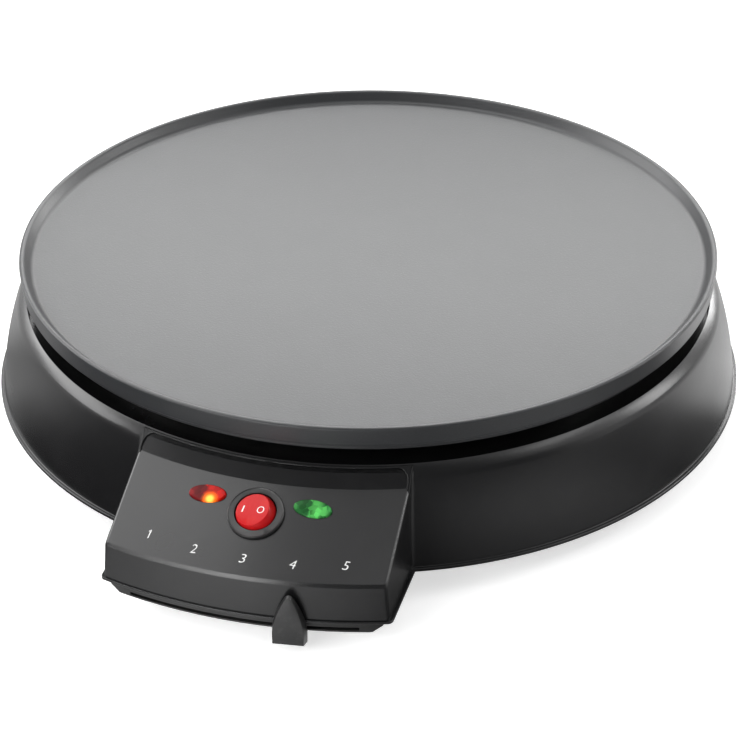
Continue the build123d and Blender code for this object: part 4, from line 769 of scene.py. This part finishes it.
# ---------------------------------------------------------------- studio
# A pale worktop, a white surround, nine soft lamps, and the camera in front and to the right. What glossy
# surfaces see of the worktop and the surround is painted lighter or darker by direction: painted reflections,
# as white and black cards round the object would make them, though no cards are there.
WORKTOP_HALF = 6.0  # metres
floor_mesh = bpy.data.meshes.new("worktop")
floor_shape = bmesh.new()
bmesh.ops.create_grid(floor_shape, x_segments=1, y_segments=1, size=WORKTOP_HALF)
floor_shape.to_mesh(floor_mesh)
floor_shape.free()
worktop = bpy.data.objects.new("worktop", floor_mesh)
bpy.context.collection.objects.link(worktop)

BRIGHTEST = 2.0
# the painted reflections' brightness by direction, in degrees: 0 is the object's right side, and -90 its
# front
PAINTED_REFLECTIONS = (
    (-170, 0.85), (-163, 0.5), (-153, 0.12), (-140, 0.03), (-124, 0.05), (-114, 1.2), (-100, 2.0), (-92, 2.0),
    (-82, 1.35), (-71, 0.6), (-64, 0.1), (-55, 0.35), (-40, 0.65), (-27, 0.7), (-18, 0.5), (-8, 0.22),
    (2, 0.3), (9, 0.4), (16, 1.9), (26, 2.0), (40, 1.2), (90, 1.0), (150, 1.0), (172, 1.0),
)
PAINTED_LEFT_REFLECTION = 0.6  # at the object's left side, where the round's ends meet
# the painted reflections are weaker near the object and stronger farther out
NEAR, FAR = 0.18, 0.26  # metres from the middle, between which the brightness grows
NEAR_GAIN, FAR_GAIN = 1.1, 2.0


def grey(value):
    """A grey as a ramp's colour."""
    return (value, value, value, 1.0)


paper = new_finish("paper", (0.8, 0.8, 0.8), 0.9, specular=0.0)
paper_nodes = paper.node_tree.nodes
path = add_node(paper, "ShaderNodeLightPath")
bright = add_node(paper, "ShaderNodeEmission", Strength=0.6)
lit = add_node(paper, "ShaderNodeAddShader")
seen = add_node(paper, "ShaderNodeMixShader")
around = add_node(paper, "ShaderNodeTexCoord")
parts = add_node(paper, "ShaderNodeSeparateXYZ")
turn = add_node(paper, "ShaderNodeMath", operation="ARCTAN2")
share = add_node(paper, "ShaderNodeMapRange")
share.inputs["From Min"].default_value, share.inputs["From Max"].default_value = -pi, pi
# the painted reflections: the worktop's strength as glossy surfaces see it, by direction round the middle
painted_reflection_ramp = add_node(paper, "ShaderNodeValToRGB")
first, last = painted_reflection_ramp.color_ramp.elements
first.position, last.position = 0.0, 1.0
first.color = last.color = grey(PAINTED_LEFT_REFLECTION / BRIGHTEST)
for direction, brightness in PAINTED_REFLECTIONS:
    stop = painted_reflection_ramp.color_ramp.elements.new((direction + 180) / 360)
    stop.color = grey(brightness / BRIGHTEST)
reach = add_node(paper, "ShaderNodeVectorMath", operation="LENGTH")
gain = add_node(paper, "ShaderNodeMapRange")
gain.inputs["From Min"].default_value, gain.inputs["From Max"].default_value = NEAR, FAR
gain.inputs["To Min"].default_value, gain.inputs["To Max"].default_value = NEAR_GAIN, FAR_GAIN
strength = add_node(paper, "ShaderNodeMath", operation="MULTIPLY")
mirrored = add_node(paper, "ShaderNodeEmission")
either = add_node(paper, "ShaderNodeMath", operation="MAXIMUM")
in_gloss = add_node(paper, "ShaderNodeMixShader")
join(
    paper,
    (around, "Object", parts, "Vector"),
    (parts, "Y", turn, 0),
    (parts, "X", turn, 1),
    (turn, 0, share, "Value"),
    (share, "Result", painted_reflection_ramp, "Fac"),
    (painted_reflection_ramp, "Color", strength, 0),
    (around, "Object", reach, 0),
    (reach, "Value", gain, "Value"),
    (gain, "Result", strength, 1),
    (strength, 0, mirrored, "Strength"),
    (path, "Is Glossy Ray", either, 0),
    (path, "Is Transmission Ray", either, 1),
    (path, "Is Camera Ray", seen, 0),
    (paper_nodes["Principled BSDF"], 0, lit, 0),
    (bright, 0, lit, 1),
    (paper_nodes["Principled BSDF"], 0, seen, 1),
    (lit, 0, seen, 2),
    (either, 0, in_gloss, 0),
    (seen, 0, in_gloss, 1),
    (mirrored, 0, in_gloss, 2),
    (in_gloss, 0, paper_nodes["Material Output"], "Surface"),
)
floor_mesh.materials.append(paper)

SOFT_LIGHT = 0.45  # the surround's strength as light; the camera sees it at full strength
# the surround is painted dark in front in what glossy surfaces see of it, up to full strength behind: a
# painted dark reflection
PAINTED_DARK_FRONT = 0.12  # how strongly glossy surfaces see it in front
DARK_FROM = -0.35  # and where that begins, as the forward part of the direction they look in
sky = bpy.data.worlds.new("studio")
bpy.context.scene.world = sky
sky.use_nodes = True
background = sky.node_tree.nodes["Background"]
background.inputs["Color"].default_value = (1.0, 1.0, 1.0, 1.0)
sky_path = add_node(sky, "ShaderNodeLightPath")
sky_either = add_node(sky, "ShaderNodeMath", operation="MAXIMUM")
sky_any = add_node(sky, "ShaderNodeMath", operation="MAXIMUM")
sky_coords = add_node(sky, "ShaderNodeTexCoord")
sky_parts = add_node(sky, "ShaderNodeSeparateXYZ")
sky_painted_dark = add_node(sky, "ShaderNodeMapRange")
sky_painted_dark.inputs["From Min"].default_value, sky_painted_dark.inputs["From Max"].default_value = DARK_FROM, 0.0
sky_painted_dark.inputs["To Min"].default_value = PAINTED_DARK_FRONT
sky_seen = add_node(sky, "ShaderNodeMath", operation="MAXIMUM")
sky_strength = add_node(sky, "ShaderNodeMix")
sky_strength.inputs[2].default_value = SOFT_LIGHT
join(
    sky,
    (sky_path, "Is Camera Ray", sky_either, 0),
    (sky_path, "Is Glossy Ray", sky_either, 1),
    (sky_either, 0, sky_any, 0),
    (sky_path, "Is Transmission Ray", sky_any, 1),
    (sky_coords, "Generated", sky_parts, 0),
    (sky_parts, "Y", sky_painted_dark, "Value"),
    (sky_any, 0, sky_strength, 0),
    (sky_painted_dark, "Result", sky_seen, 0),
    (sky_path, "Is Camera Ray", sky_seen, 1),
    (sky_seen, 0, sky_strength, 3),
    (sky_strength, 0, background, "Strength"),
)

# each lamp's name, place, the point it is turned to, width, height and watts
for name, place, aim, width, height, watts in (
    ("left_box", (-0.62, 0.18, 1.0), (0.0, 0.0, 0.03), 0.9, 0.9, 5.7),
    ("left_low_box", (-1.04, 0.03, 0.55), (0.0, 0.0, 0.05), 0.95, 0.4, 6.8),
    ("left_strip", (-1.03, 0.48, 0.32), (0.0, 0.0, 0.05), 0.3, 0.3, 0.7),
    ("right_strip", (0.62, 1.15, 0.34), (0.0, 0.0, 0.05), 0.3, 0.5, 4.5),
    ("right_box", (1.0, 0.45, 0.57), (0.0, 0.0, 0.05), 0.3, 0.4, 3.0),
    ("right_high_box", (0.80, 0.0, 0.89), (0.0, 0.0, 0.05), 0.5, 0.2, 1.0),
    ("back_box", (-0.12, 0.62, 0.46), (0.0, -0.06, 0.07), 0.7, 0.16, 2.8),
    ("front_strip", (-0.55, -1.0, 0.62), (0.0, -0.15, 0.03), 0.95, 0.16, 6.6),
    ("low_box", (-0.26, -0.95, 0.12), (0.0, -0.18, 0.02), 0.25, 0.14, 1.0),
):
    lamp = bpy.data.lights.new(name, "AREA")
    lamp.shape = "RECTANGLE"
    lamp.size, lamp.size_y = width, height
    lamp.energy = watts
    holder = bpy.data.objects.new(name, lamp)
    bpy.context.collection.objects.link(holder)
    holder.location = place
    holder.rotation_euler = (Vector(aim) - Vector(place)).to_track_quat("-Z", "Y").to_euler()

EYE = Vector((0.2869, -1.03545, 0.6775))
TARGET = Vector((-0.00038, 0.01985, 0.00786))
ROLL = radians(-0.361)
ahead = (TARGET - EYE).normalized()
level = ahead.cross(Vector((0.0, 0.0, 1.0))).normalized()
upward = level.cross(ahead)
right = cos(ROLL) * level + sin(ROLL) * upward
top = -sin(ROLL) * level + cos(ROLL) * upward
camera_data = bpy.data.cameras.new("camera")
camera_data.lens = 136.957  # millimetres
camera_data.sensor_width = 36.0
camera_data.clip_start = 0.05
camera_data.clip_end = 50.0
camera = bpy.data.objects.new("camera", camera_data)
bpy.context.collection.objects.link(camera)
camera.matrix_world = Matrix.Translation(EYE) @ Matrix((right, top, -ahead)).transposed().to_4x4()
bpy.context.scene.camera = camera
bpy.context.scene.view_settings.view_transform = "Standard"
